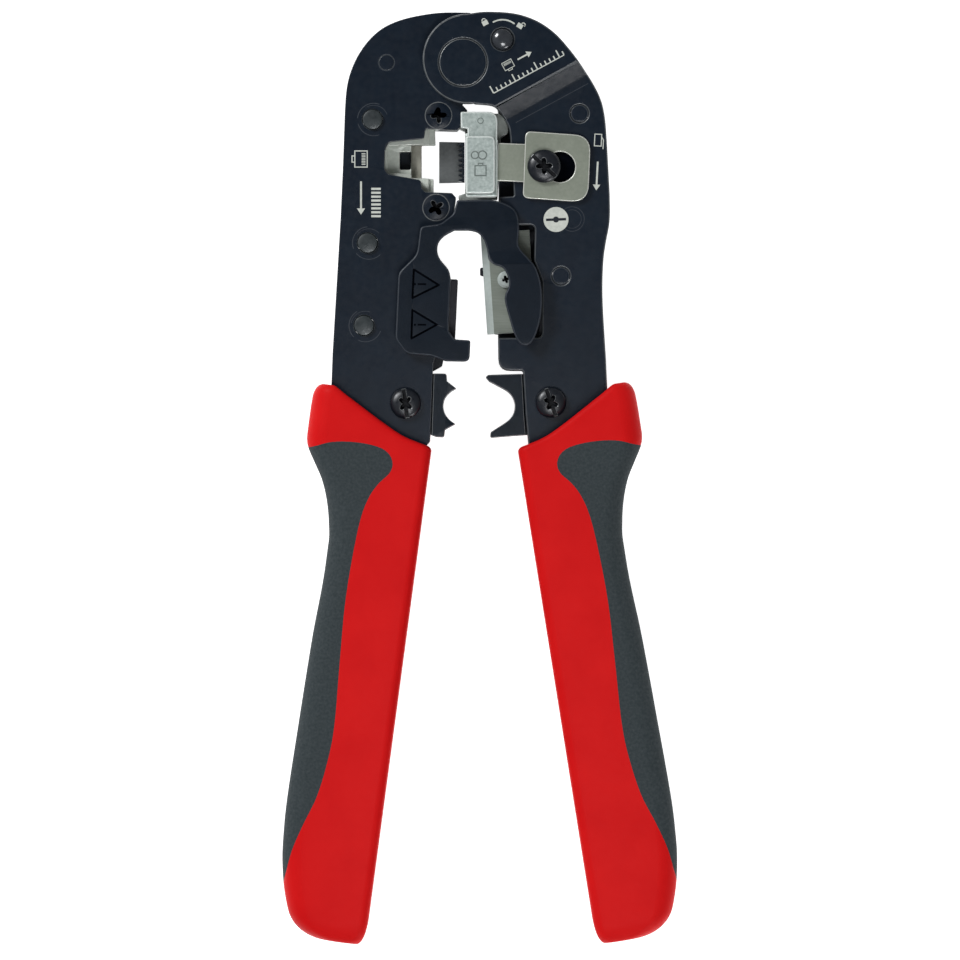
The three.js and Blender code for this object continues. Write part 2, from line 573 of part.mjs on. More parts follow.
// Stations of the moulding: [u, inner v, outer v, half thickness].
const HANDLE_STATIONS = [
  [-9.6, 0, 24.5, 9.25], [-3, 0, 24.7, 9.25], [3.0, 0, 24.7, 9.25], [4.8, 0, 24.1, 9.25],
  [7.0, 0, 22.6, 9.25], [10.5, 0, 20.5, 9.25], [14.3, 0, 19.0, 9.25], [18.2, 0, 18.1, 9.25],
  [22, 0, 17.6, 9.25], [27, 0, 17.6, 9.25], [42, 0, 18.3, 9.25], [58, 0, 18.7, 9.25],
  [75, 0, 19.0, 9.25], [84, 0, 18.6, 9.25],
  [90.5, 0, 17.6, 9.25], [94.8, 0, 16.4, 9.25], [97.6, 0.1, 15.2, 9.1], [99.8, 0.6, 13.2, 8.4],
  [100.9, 1.5, 11.2, 7.2], [101.4, 3.0, 8.8, 5.4],
];
const GRIP_EDGE = [
  [4.2, 30], [4.1, 24.2], [2.0, 16], [1.9, 12.2], [3.4, 7.8], [5.2, 6.9], [7.1, 7.4], [9.5, 9.2],
  [12.4, 10.7], [17, 11.8], [25, 12.4], [34.6, 12.6], [46, 12.1], [58.4, 11.5], [65.7, 11.9],
  [73, 13.1], [78.7, 15.0], [84.3, 16.5], [90, 17.5], [96, 19.5], [102, 30],
];

// One ring of the moulding's rounded-rectangle section.
function handleSection([u, inner, outer, half], inset) {
  const left = inner + inset;
  const right = outer - inset;
  const top = half - inset;
  const radius = Math.min(HANDLE_CORNER - inset * 0.5, (right - left) * 0.49, top * 0.9);
  const ring = [];
  for (let corner = 0; corner < 4; corner += 1) {
    const v = corner === 0 || corner === 3 ? right - radius : left + radius;
    const z = corner < 2 ? top - radius : -top + radius;
    for (let i = 0; i <= 5; i += 1) {
      const angle = (corner + i / 5) * Math.PI / 2;
      ring.push([u, v + radius * Math.cos(angle), z + radius * Math.sin(angle)]);
    }
  }
  return ring;
}

// A closed skin through rings of points.
function loft(rings) {
  const size = rings[0].length;
  const positions = rings.flat(2);
  const index = [];
  for (let i = 0; i + 1 < rings.length; i += 1) {
    for (let j = 0; j < size; j += 1) {
      const next = (j + 1) % size;
      const a = i * size + j;
      const b = i * size + next;
      index.push(a, b, a + size, b, b + size, a + size);
    }
  }
  const last = (rings.length - 1) * size;
  for (let j = 1; j + 1 < size; j += 1) {
    index.push(0, j + 1, j, last, last + j, last + j + 1);
  }
  const geometry = new THREE.BufferGeometry();
  geometry.setAttribute('position', new THREE.Float32BufferAttribute(positions, 3));
  geometry.setIndex(index);
  return solid(geometry);
}

function handleBody(inset) {
  const stations = HANDLE_STATIONS.map(([u, ...rest]) => [u > 95 ? u - inset : u, ...rest]);
  return loft(stations.map((station) => handleSection(station, inset)));
}

// From the moulding's own frame to the tool: u runs down the handle, v outward.
function placeHandle(body, { x, y, tilt, side }) {
  const upright = body.rotate([0, 0, -90]).scale([side, 1, 1]);
  return upright.rotate([0, 0, THREE.MathUtils.radToDeg(tilt)]).translate([x, y, 0]);
}

// The area that the soft grip covers, grown by a gap.
function gripArea(gap) {
  const curve = new THREE.SplineCurve(GRIP_EDGE.map(([u, v]) => new THREE.Vector2(u - gap * 0.4, v - gap)));
  const shape = new THREE.Shape(curve.getPoints(64));
  const depth = HANDLE_HALF * 2 + 4;
  const geometry = new THREE.ExtrudeGeometry(shape, { depth, bevelEnabled: false });
  return solid(geometry.translate(0, 0, -depth / 2));
}

function handleTopCut() {
  const corners = [
    [-40, -10], [1.0, -10], [0.9, 0.1, 0.5], [-0.5, 5.1], [-2.6, 9.5], [-7.6, 18.6, 1], [-9.0, 20.9, 1],
    [-8.9, 22.6, 1], [-7.6, 24.2, 1], [-7.0, 40], [-40, 40],
  ];
  return slab(corners, -20, 20);
}

function handleShell(place, tang) {
  const cavity = slab(tang, -PLATE_OUT - 0.2, PLATE_OUT + 0.2);
  const softArea = cut(gripArea(SEAM), handleBody(HANDLE_WALL));
  const body = cut(handleBody(0), handleTopCut(), softArea);
  return cut(placeHandle(body, place), cavity);
}

function handleGrip(place) {
  const body = handleBody(0).intersect(gripArea(0));
  return placeHandle(cut(body, handleBody(HANDLE_WALL - SEAM)), place);
}

const LEFT_TANG_CAVITY = [
  [-26.9, -60], [-26.7, -67], [-24.1, -90], [-23.7, -112.4], [-15.3, -112.4], [-12.3, -90],
  [-9.3, -78.4], [-6.2, -75.5], [-5.8, -60],
];
const RIGHT_TANG_CAVITY = [
  [29.4, -60], [29.3, -68], [28.6, -90], [30.3, -112.4], [20.3, -112.4], [16.7, -90],
  [14.1, -78.7], [12.8, -76.6], [11.0, -60],
];

// ---------------------------------------------------------------- assembly

add('frame_plate_front', framePlate(FRONT_NEST_EDGE, PLATE_IN, PLATE_OUT), 'plate');
add('frame_plate_back', framePlate(BACK_NEST_EDGE, -PLATE_OUT, -PLATE_IN), 'plate');
add('frame_spacer', frameSpacer(), 'inner');
add('plug_nest', plugNest(), 'steel');
NEST_SCREWS.forEach((place, i) => add(`nest_screw_${i + 1}`, countersunkScrew(place), 'dark'));
FRAME_RIVETS.forEach((place, i) => add(`frame_rivet_${i + 1}`, proudRivet(place), 'inner'));
add('frame_rivet_top', flushRivet(TOP_RIVET), 'inner');
add('pivot_pin', pivotPin(), 'dark');
add('return_spring', returnSpring(), 'steel');
add('cutting_anvil', cuttingAnvil(), 'dark');
add('clip_die_left', clipDie(CLIP_LEFT, LEFT_JAW, CLIP_SCREW_LEFT), 'dark');
add('clip_screw_left', panScrew(CLIP_SCREW_LEFT, CLIP_HEAD_RADIUS, 1.5, PLATE_OUT, -4.8, 1.8, 0.2), 'dark');
add('blade_guard', bladeGuard(), 'guard');
add('left_handle', handleShell(LEFT_HANDLE, LEFT_TANG_CAVITY), 'red');
add('left_grip', handleGrip(LEFT_HANDLE), 'grip');

add('arm_plate_front', armPlateFront(), 'raised');
add('arm_plate_back', armPlateBack(), 'raised');
add('arm_spacer', armSpacer(), 'inner');
ARM_RIVETS.forEach((place, i) => add(`arm_rivet_${i + 1}`, flushRivet(place), 'dark'));
add('cutter_blade', blade(), 'blade');
add('blade_screw', bladeScrew(), 'steel');
add('clip_die_right', clipDie(CLIP_RIGHT, RIGHT_JAW, CLIP_SCREW_RIGHT), 'dark');
add('clip_screw_right', panScrew(CLIP_SCREW_RIGHT, CLIP_HEAD_RADIUS, 1.5, PLATE_OUT, -4.8, 1.8, 0.9), 'dark');
add('right_handle', handleShell(RIGHT_HANDLE, RIGHT_TANG_CAVITY), 'red');
add('right_grip', handleGrip(RIGHT_HANDLE), 'grip');

add('die_block', dieBlock(), 'steel');
add('die_carrier', dieCarrier(), 'inner');
add('contact_comb', contactComb(), 'dark');
add('trim_blade', trimBlade(), 'inner');
add('adjuster_plate', adjusterPlate(), 'steel');
add('adjuster_screw', panScrew(ADJUSTER_SCREW, ADJUSTER_HEAD_RADIUS, 1.5, 6.15, -2.0, 1.8, -0.87), 'dark');
add('lock_button', lockButton(), 'dark');

export default tool;
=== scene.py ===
"""Looks for a modular-plug crimping tool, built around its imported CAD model.

Lengths are in millimetres inside the helpers and are turned to metres at the mesh.
Positions are given about the arm's pivot, which is where PIVOT stands in the frame.
"""

import json
import math

import bmesh
import bpy
from mathutils import Matrix, Vector


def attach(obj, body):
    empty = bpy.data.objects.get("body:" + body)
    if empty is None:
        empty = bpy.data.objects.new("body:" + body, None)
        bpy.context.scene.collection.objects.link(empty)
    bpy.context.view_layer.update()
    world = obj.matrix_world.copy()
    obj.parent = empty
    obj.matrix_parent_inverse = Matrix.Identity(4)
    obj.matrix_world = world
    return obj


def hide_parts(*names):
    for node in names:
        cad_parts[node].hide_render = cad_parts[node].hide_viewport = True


MM = 0.001
PIVOT = Vector((-3.3, 82.9, 9.25))

PLATE_TOP = 5.0
RAISED_TOP = 7.8
GUARD_TOP = 7.8
HANDLE_HALF = 9.25
INK_HEIGHT = 0.02

# Mesh clean-up: welding distances in metres and angles in degrees.
WELD = 2e-6
CUT_WELD = 1e-6
BEVEL_WELD = 1e-7
FLAT_ANGLE = 0.8
RIM_ANGLE = 32
# Material slots of a piece that has more than one.
EDGE_INDEX = 1
SPECIAL_INDEX = 2
# Sockets of the Mix node when it mixes colours.
MIX_FACTOR, MIX_DARK, MIX_LIGHT, MIX_RESULT = 0, 6, 7, 2
# The part of a noise's range that the materials use.
NOISE_LOW = 0.3
NOISE_HIGH = 0.7
PLATING_GRAIN = 1500

# Handle moulding.
HANDLE_LENGTH = 101.3
HANDLE_INNER_EDGE = -0.35
HANDLE_INNER_CORNER = 1.9
HANDLE_OUTER_CORNER = 4.2
FACE_CROWN = 0.3
END_ROUNDING = 4.8
END_STEPS = 12
END_CUTS = (1.8, 6.0, 2.4)
LIP_DEPTHS = (9.0, 4.0, 1.2, 0.4)
LIP_CORNER = 3.2
LIP_INSET = 2.0
ROLL_RADIUS = 0.95
ROLL_STEPS = 9
LEAN_LENGTH = 13.0
TOP_OUTER = 24.3
TOP_END = 24.6
GRIP_CUT_HEIGHT = 14
HANDLES = {
    "left": {"x": -6.5, "y": -76.0, "tilt": math.radians(-7.63), "side": -1, "body": "frame"},
    "right": {"x": 11.15, "y": -76.2, "tilt": math.radians(9.05), "side": 1, "body": "arm"},
}
# Outer edge of the handle moulding: v against u, its length, from the knob at the top down.
HANDLE_OUTER = [
    (-9.0, 24.5), (-3.0, 24.7), (1.5, 24.7), (3.4, 24.4), (5.2, 23.6), (7.0, 22.5),
    (10.5, 20.4), (14.3, 19.0), (18.2, 18.1), (22.0, 17.6), (27.0, 17.6), (42.0, 18.3),
    (58.0, 18.7), (75.0, 19.0), (84.0, 18.6), (90.5, 17.6), (94.8, 16.4), (98.0, 15.2),
    (102.0, 14.0),
]
# Top edge of the moulding: u against v.
HANDLE_TOP = [
    (0.0, 0.7), (1.5, 0.4), (5.1, -0.5), (9.5, -2.6), (13.8, -5.0), (18.6, -7.7),
    (20.9, -8.9), (22.6, -8.9), (24.6, -8.0),
]
# Inner boundary of the soft grip: (u, v).
GRIP_EDGE = [
    (4.6, 30.0), (4.1, 24.2), (2.5, 19.8), (1.9, 16.0), (1.9, 12.2), (2.4, 9.4),
    (3.5, 7.7), (5.2, 6.9), (7.1, 7.3), (9.5, 9.2), (12.4, 10.7), (17.0, 11.8),
    (25.0, 12.4), (34.6, 12.6), (46.0, 12.1), (58.4, 11.5), (65.7, 11.9), (73.0, 13.1),
    (78.7, 15.0), (84.3, 16.6), (90.0, 17.4), (96.0, 18.6), (102.0, 30.0),
]

# CAD nodes that keep their shape: bevel width in millimetres, face material and edge material.
# The edge materials are lighter than the faces: painted highlights along the rounded edges.
REFINED = {
    "frame_plate_front": (0.12, "plate", "plate_edge_highlight"),
    "frame_plate_back": (0.3, "plate", "plate_edge_highlight"),
    "frame_spacer": (0.08, "inner", "inner"),
    "plug_nest": (0.15, "nest", "nest_edge_highlight"),
    "frame_rivet_top": (0.1, "plate", "plate_edge_highlight"),
    "pivot_pin": (0.18, "plate", "worn_edge"),
    "cutting_anvil": (0.15, "anvil", "anvil"),
    "clip_die_left": (0.15, "die_dark", "worn_edge"),
    "blade_guard": (0.3, "guard", "guard_edge_highlight"),
    "arm_plate_front": (0.3, "plate", "plate_edge_highlight"),
    "arm_plate_back": (0.3, "plate", "plate_edge_highlight"),
    "arm_spacer": (0.08, "inner", "inner"),
    "arm_rivet_1": (0.1, "plate", "plate_edge_highlight"),
    "arm_rivet_2": (0.1, "plate", "plate_edge_highlight"),
    "cutter_blade": (0.06, "blade", "bright"),
    "clip_die_right": (0.15, "die_dark", "worn_edge"),
    "die_block": (0.28, "die", "die_edge_highlight"),
    "die_carrier": (0.15, "carrier", "carrier"),
    "contact_comb": (0.03, "die_dark", "die_dark"),
    "trim_blade": (0.05, "trim", "trim"),
    "adjuster_plate": (0.18, "adjuster", "adjuster_edge_highlight"),
    "lock_button": (0.1, "polished", "polished"),
}
# Proud rivets of the frame, and flush rivets as centre and body.
RIVETS = {
    "frame_rivet_1": (-18.1, -11.3),
    "frame_rivet_2": (-19.1, -36.0),
    "frame_rivet_3": (-19.8, -52.5),
}
FLUSH_RIVETS = {
    "top": ((-15.3, 0.1), "frame"),
    "upper": ((23.3, -10.1), "arm"),
    "lower": ((19.6, -42.6), "arm"),
}
# Profiles of (radius, z) of the countersunk screws and of the blade's screw.
COUNTERSUNK = [
    (0, -4.4), (1.2, -4.4), (1.2, 3.55), (2.45, 4.82), (2.58, 4.96), (2.5, 5.0), (0, 5.0),
]
BLADE_SCREW = [
    (0, -4.8), (1.0, -4.8), (1.0, 0.95), (1.7, 0.95), (1.7, 1.5), (1.3, 1.8), (0, 1.8),
]
BLADE_SCREW_CENTRE = (8.6, -43.2)
# Countersunk screws: centre and turn in degrees.
FLUSH_SCREWS = {
    "nest_screw_1": ((-4.9, -10.5), 5.0),
    "nest_screw_2": ((-5.4, -28.9), 32.0),
}
# Pan screws: centre, head radius, shank radius, tip, seat, head height and turn in degrees.
PAN_SCREWS = {
    "clip_screw_left": ((-11.5, -68.1), 3.1, 1.5, -4.8, 5.0, 1.8, 52.0),
    "clip_screw_right": ((17.6, -67.9), 3.1, 1.5, -4.8, 5.0, 1.8, 65.0),
    "adjuster_screw": ((16.2, -20.7), 3.35, 1.5, -2.0, 6.15, 1.8, -88.0),
}

# Recesses of the screw heads, in millimetres.
RECESS_TAPER = 0.5
RECESS_RIM = 0.07
CUT_ABOVE = 0.4
SLOT_HALF_WIDTH = 0.38
SLOT_DEPTH_SHARE = 0.65

# Stage, in metres. The camera's distance is measured from the upper face of the plates.
CAMERA_DISTANCE = 1.6
PLATE_HEIGHT = 0.0143
FLOOR_SIZE = 3
FLOOR_DROP = 0.0001

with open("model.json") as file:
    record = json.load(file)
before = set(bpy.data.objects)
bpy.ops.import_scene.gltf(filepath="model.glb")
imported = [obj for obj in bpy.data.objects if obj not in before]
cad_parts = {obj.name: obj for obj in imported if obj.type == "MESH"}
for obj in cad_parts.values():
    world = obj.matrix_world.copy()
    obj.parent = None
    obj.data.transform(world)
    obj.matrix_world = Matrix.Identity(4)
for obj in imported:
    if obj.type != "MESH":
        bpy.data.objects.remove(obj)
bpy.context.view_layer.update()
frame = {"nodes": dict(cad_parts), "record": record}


# ---------------------------------------------------------------- materials

def linear(red, green, blue):
    """Turns 0 to 255 screen values to a linear colour."""
    def channel(value):
        value /= 255.0
        return value / 12.92 if value <= 0.04045 else ((value + 0.055) / 1.055) ** 2.4
    return (channel(red), channel(green), channel(blue), 1.0)


class Finish:
    """A node material around one Principled shader, textured in object space."""

    def __init__(self, name, roughness, metallic=0.0, specular=0.5):
        self.material = bpy.data.materials.new(name)
        self.material.use_nodes = True
        self.tree = self.material.node_tree
        self.shader = self.tree.nodes["Principled BSDF"]
        self.shader.inputs["Roughness"].default_value = roughness
        self.shader.inputs["Metallic"].default_value = metallic
        self.shader.inputs["Specular IOR Level"].default_value = specular
        self.coordinates = self.tree.nodes.new("ShaderNodeTexCoord")
        self.height = None

    def node(self, kind, **settings):
        made = self.tree.nodes.new(kind)
        for key, value in settings.items():
            setattr(made, key, value)
        return made

    def link(self, start, end):
        self.tree.links.new(start, end)

    def noise(self, scale, detail=3.0, stretch=(1, 1, 1)):
        """A noise whose scale is in features per metre."""
        mapping = self.node("ShaderNodeMapping")
        mapping.inputs["Scale"].default_value = stretch
        texture = self.node("ShaderNodeTexNoise")
        texture.inputs["Scale"].default_value = scale
        texture.inputs["Detail"].default_value = detail
        self.link(self.coordinates.outputs["Object"], mapping.inputs["Vector"])
        self.link(mapping.outputs["Vector"], texture.inputs["Vector"])
        return texture.outputs["Fac"]

    def cells(self, scale):
        texture = self.node("ShaderNodeTexVoronoi")
        texture.inputs["Scale"].default_value = scale
        self.link(self.coordinates.outputs["Object"], texture.inputs["Vector"])
        return texture.outputs["Distance"]

    def ramp(self, source, low, high):
        """Maps a texture to the range from low to high."""
        mapped = self.node("ShaderNodeMapRange")
        mapped.inputs["From Min"].default_value = NOISE_LOW
        mapped.inputs["From Max"].default_value = NOISE_HIGH
        mapped.inputs["To Min"].default_value = low
        mapped.inputs["To Max"].default_value = high
        self.link(source, mapped.inputs["Value"])
        return mapped.outputs["Result"]

    def colour(self, source, dark, light):
        """Varies the base colour between two colours along a texture."""
        mix = self.node("ShaderNodeMix", data_type="RGBA")
        mix.inputs[MIX_DARK].default_value = dark
        mix.inputs[MIX_LIGHT].default_value = light
        self.link(self.ramp(source, 0.0, 1.0), mix.inputs[MIX_FACTOR])
        self.link(mix.outputs[MIX_RESULT], self.shader.inputs["Base Color"])

    def rough(self, source, low, high):
        self.link(self.ramp(source, low, high), self.shader.inputs["Roughness"])

    def bump(self, source, depth):
        """Adds relief of the given depth in millimetres."""
        bump = self.node("ShaderNodeBump")
        bump.inputs["Strength"].default_value = 1.0
        bump.inputs["Distance"].default_value = depth * MM
        self.link(source, bump.inputs["Height"])
        if self.height:
            self.link(self.height, bump.inputs["Normal"])
        self.height = bump.outputs["Normal"]
        self.link(self.height, self.shader.inputs["Normal"])


def coated_steel():
    finish = Finish("coated_steel", 0.34, 0.0, 0.28)
    finish.colour(finish.noise(260, 4), linear(8, 20, 33), linear(12, 25, 38))
    finish.rough(finish.noise(900, 4), 0.3, 0.4)
    finish.bump(finish.noise(2400, 2), 0.008)
    return finish.material


def dark_metal(name, dark, light, roughness, specular=0.5, relief=0.01):
    """Oiled or blackened steel, nearly black, whose shape shows in its highlights."""
    finish = Finish(name, roughness, 0.2, specular)
    finish.colour(finish.noise(900, 4), dark, light)
    finish.rough(finish.noise(1500), roughness * 0.8, roughness * 1.25)
    finish.bump(finish.noise(1900), relief)
    return finish.material


def plated_steel(name, dark, light, roughness, metallic=0.3, relief=0.006):
    finish = Finish(name, roughness, metallic)
    finish.colour(finish.noise(PLATING_GRAIN, 5), dark, light)
    finish.rough(finish.noise(700, 4), roughness * 0.85, roughness * 1.2)
    finish.bump(finish.noise(PLATING_GRAIN * 1.3, 3), relief)
    return finish.material


def cast_steel():
    """Plated casting with the fine orange-peel skin of a tumbled part."""
    finish = Finish("cast_steel", 0.36, 0.3)
    finish.colour(finish.noise(1700, 4), linear(157, 170, 167), linear(188, 199, 196))
    finish.rough(finish.noise(1300, 4), 0.28, 0.5)
    finish.bump(finish.noise(2300, 3), 0.03)
    return finish.material


def ground_steel():
    finish = Finish("ground_steel", 0.34, 0.2)
    lines = finish.noise(260, 2, (1, 16, 1))
    finish.colour(lines, linear(117, 124, 116), linear(129, 136, 128))
    finish.rough(lines, 0.3, 0.38)
    finish.bump(lines, 0.001)
    return finish.material


def guard_plastic():
    finish = Finish("guard_plastic", 0.46, 0.0, 0.18)
    finish.colour(finish.noise(350, 3), linear(4, 16, 28), linear(8, 20, 32))
    finish.rough(finish.noise(1500), 0.4, 0.52)
    finish.bump(finish.noise(2600, 3), 0.02)
    return finish.material


def red_plastic():
    finish = Finish("red_plastic", 0.5, 0.0, 0.04)
    finish.colour(finish.noise(120, 3), linear(197, 20, 22), linear(204, 24, 25))
    finish.rough(finish.noise(1200), 0.38, 0.5)
    finish.bump(finish.noise(2600, 2), 0.01)
    return finish.material


def grip_rubber():
    finish = Finish("grip_rubber", 0.75, 0.0, 0.15)
    finish.colour(finish.noise(1900, 3), linear(46, 54, 57), linear(58, 65, 68))
    finish.rough(finish.noise(1600), 0.68, 0.82)
    finish.bump(finish.cells(2100), 0.035)
    finish.bump(finish.noise(3600, 2), 0.02)
    return finish.material


def ink(name, dark, light, specular=0.3):
    finish = Finish(name, 0.6, 0.0, specular)
    finish.colour(finish.noise(1500), dark, light)
    return finish.material


def floor_white():
    finish = Finish("floor_white", 0.9, 0.0, 0.0)
    finish.colour(finish.noise(30), (0.8, 0.8, 0.8, 1), (0.82, 0.82, 0.82, 1))
    finish.shader.inputs["Emission Color"].default_value = (1, 1, 1, 1)
    finish.shader.inputs["Emission Strength"].default_value = 0.95
    return finish.material


MATERIALS = {
    "plate": coated_steel(),
    # Painted highlights: the plate and guard bevels are coloured much lighter than their faces,
    # as where the edges catch light.
    "plate_edge_highlight": dark_metal("plate_edge_highlight", linear(56, 61, 66), linear(72, 77, 82), 0.36, 0.8),
    "guard_edge_highlight": dark_metal("guard_edge_highlight", linear(38, 45, 54), linear(46, 53, 62), 0.5, 0.5),
    # Painted highlight: a light colour for the lit rims of the pivot pin, the clip dies and the
    # screw recesses, and for the light rings round the flush screws and along the raised end.
    "worn_edge": dark_metal("worn_edge", linear(88, 92, 95), linear(108, 112, 114), 0.34, 0.9),
    "inner": dark_metal("inner_steel", linear(20, 24, 31), linear(30, 34, 41), 0.5, 0.3),
    "rivet": dark_metal(
        "rivet_steel", linear(38, 45, 48), linear(50, 57, 60), 0.38, 0.6, 0.014,
    ),
    "screw": dark_metal(
        "screw_steel", linear(16, 21, 29), linear(23, 28, 36), 0.32, 0.7, 0.004,
    ),
    # Painted shade: the faces inside the screw recesses are coloured nearly black.
    "recess": dark_metal("painted_screw_recess_shade", linear(6, 9, 15), linear(10, 13, 19), 0.5, 0.22),
    "polished": dark_metal(
        "polished_black", linear(44, 48, 54), linear(58, 62, 68), 0.16, 1.0, 0.001,
    ),
    "nest": plated_steel(
        "nest_steel", linear(188, 195, 187), linear(202, 209, 201), 0.36, 0.05,
    ),
    # Painted shade: the lowered step of the plug nest is coloured darker than the rest of the
    # nest.
    "painted_shade_nest_step": plated_steel(
        "painted_shade_nest_step", linear(146, 145, 134), linear(160, 159, 148), 0.42, 0.05,
    ),
    # Painted shade: nearly black, for the moulded grooves of the guard's signs and the disc
    # under the adjuster's slot.
    "groove": ink("groove_shade", linear(4, 6, 11), linear(7, 9, 14), 0.0),
    # Painted highlight: the nest's bevels are coloured lighter than its faces.
    "nest_edge_highlight": plated_steel("nest_edge_highlight", linear(206, 210, 203), linear(222, 226, 219), 0.3),
    "die": cast_steel(),
    "die_line": plated_steel("die_line", linear(108, 118, 115), linear(122, 132, 129), 0.4),
    # Painted highlight: the die's bevels are coloured lighter than its faces.
    "die_edge_highlight": plated_steel(
        "die_edge_highlight", linear(214, 222, 219), linear(230, 237, 234), 0.3, 0.08,
    ),
    "adjuster": plated_steel(
        "adjuster_steel", linear(132, 139, 127), linear(140, 146, 134), 0.38,
    ),
    # Painted highlight: the adjuster's bevels are coloured lighter than its faces.
    "adjuster_edge_highlight": plated_steel(
        "adjuster_edge_highlight", linear(212, 215, 207), linear(226, 228, 221), 0.3,
    ),
    "bright": plated_steel(
        "bright_steel", linear(172, 182, 179), linear(180, 190, 187), 0.34, 0.1, 0.002,
    ),
    "carrier": plated_steel(
        "carrier_steel", linear(148, 154, 150), linear(166, 172, 168), 0.36, 0.1,
    ),
    "trim": plated_steel("trim_steel", linear(90, 94, 95), linear(100, 104, 105), 0.5),
    "blade": ground_steel(),
    "anvil": dark_metal("anvil_steel", linear(26, 26, 36), linear(36, 35, 45), 0.4),
    "die_dark": dark_metal("dark_die_steel", linear(5, 17, 27), linear(10, 22, 33), 0.42, 0.3),
    "guard": guard_plastic(),
    "red": red_plastic(),
    "grip": grip_rubber(),
    "ink": ink("print_ink", linear(186, 191, 184), linear(202, 206, 199)),
    # Light lines: print on the slot ring, and painted highlight on the stake rings, the flush
    # rivet seams and the joggle's foot.
    "shade": ink("print_and_painted_highlight", linear(46, 52, 60), linear(56, 62, 70)),
    "dark_ink": ink("dark_ink", linear(18, 24, 34), linear(24, 30, 40)),
}


# ---------------------------------------------------------------- mesh helpers

def finished(mesh, name):
    """Turns a working mesh to mesh data of the given name."""
    result = bpy.data.meshes.new(name)
    mesh.to_mesh(result)
    mesh.free()
    return result


def linked(name, data):
    """Makes an object in the scene."""
    made = bpy.data.objects.new(name, data)
    bpy.context.scene.collection.objects.link(made)
    return made


def piece(name, mesh, material, body, smooth_angle=35.0, extra=()):
    """Makes an object that rides on a body, from a mesh whose lengths are in metres."""
    made = linked(name, mesh)
    if mesh.materials:
        mesh.materials.clear()
    mesh.materials.append(MATERIALS[material])
    for key in extra:
        mesh.materials.append(MATERIALS[key])
    for polygon in mesh.polygons:
        polygon.use_smooth = True
    mesh.set_sharp_from_angle(angle=math.radians(smooth_angle))
    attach(made, body)
    return made


def body_of_node(node):
    for body, nodes in frame["record"]["behaviour"]["bodies"].items():
        if node in nodes:
            return body
    raise KeyError(node)


def weighted(made):
    modifier = made.modifiers.new("weighted", "WEIGHTED_NORMAL")
    modifier.keep_sharp = True
    modifier.weight = 80


def stand_for(node):
    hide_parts(node)


def in_nest_step(spot):
    """True in the lowered part of the plug nest beside its opening."""
    return -10.5 < spot.x < -8.0 and -23.0 < spot.y < -16.2 and -0.6 < spot.z < 0.85


def in_guard_sign(spot):
    """True where the guard's face holds its two moulded triangles."""
    return -10.8 < spot.x < -4.4 and -55.6 < spot.y < -40.9 and spot.z > 7.5


def about_pivot(point):
    return point / MM - PIVOT


def in_nest_tip(spot):
    """True at the thin tip of the frame's plate over the plug nest."""
    return -1.2 < spot.x < 2.2 and -14.0 < spot.y < -7.5


# Places where the edges of a refined node stay sharp.
SHARP_PLACES = {"blade_guard": in_guard_sign, "frame_plate_front": in_nest_tip}

# Faces of a refined node that take a material of their own, by a test of normal and middle.
SPECIAL_FACES = {
    # Painted highlight: the blade's bevel facet, facing left and up, takes the light bright
    # steel colour.
    "cutter_blade": ("bright", lambda normal, spot: normal.x < -0.1 and normal.z > 0.1),
    # Painted shade: the nest's lowered step takes the darker step colour.
    "plug_nest": ("painted_shade_nest_step", lambda normal, spot: in_nest_step(spot)),
    # Painted shade: the faces inside the guard's moulded triangles take the nearly black groove
    # colour.
    "blade_guard": (
        "groove",
        lambda normal, spot: in_guard_sign(spot) and spot.z < GUARD_TOP - 0.01,
    ),
}


def is_rim(edge, node):
    """True for an outer edge that is to be softened."""
    if not edge.is_convex or edge.calc_face_angle(0.0) < math.radians(RIM_ANGLE):
        return False
    stays_sharp = SHARP_PLACES.get(node)
    if not stays_sharp:
        return True
    return not all(stays_sharp(about_pivot(vertex.co)) for vertex in edge.verts)


def refill_flats(mesh):
    """Fills the level faces again from their outlines, so that no sliver is left turned over."""
    levels = {}
    for face in mesh.faces:
        # A level is told apart by its height in thousandths of a millimetre.
        heights = {round(vertex.co.z / MM * 1000) for vertex in face.verts}
        if len(heights) == 1:
            levels.setdefault(heights.pop(), set()).add(face)
    for faces in levels.values():
        edges = {edge for face in faces for edge in face.edges}
        inner = [edge for edge in edges if all(face in faces for face in edge.link_faces)]
        outline = list(edges.difference(inner))
        bmesh.ops.delete(mesh, geom=list(faces), context="FACES_ONLY")
        bmesh.ops.delete(mesh, geom=inner, context="EDGES")
        bmesh.ops.triangle_fill(mesh, use_beauty=True, edges=outline, normal=(0, 0, 1))
    bmesh.ops.recalc_face_normals(mesh, faces=mesh.faces)


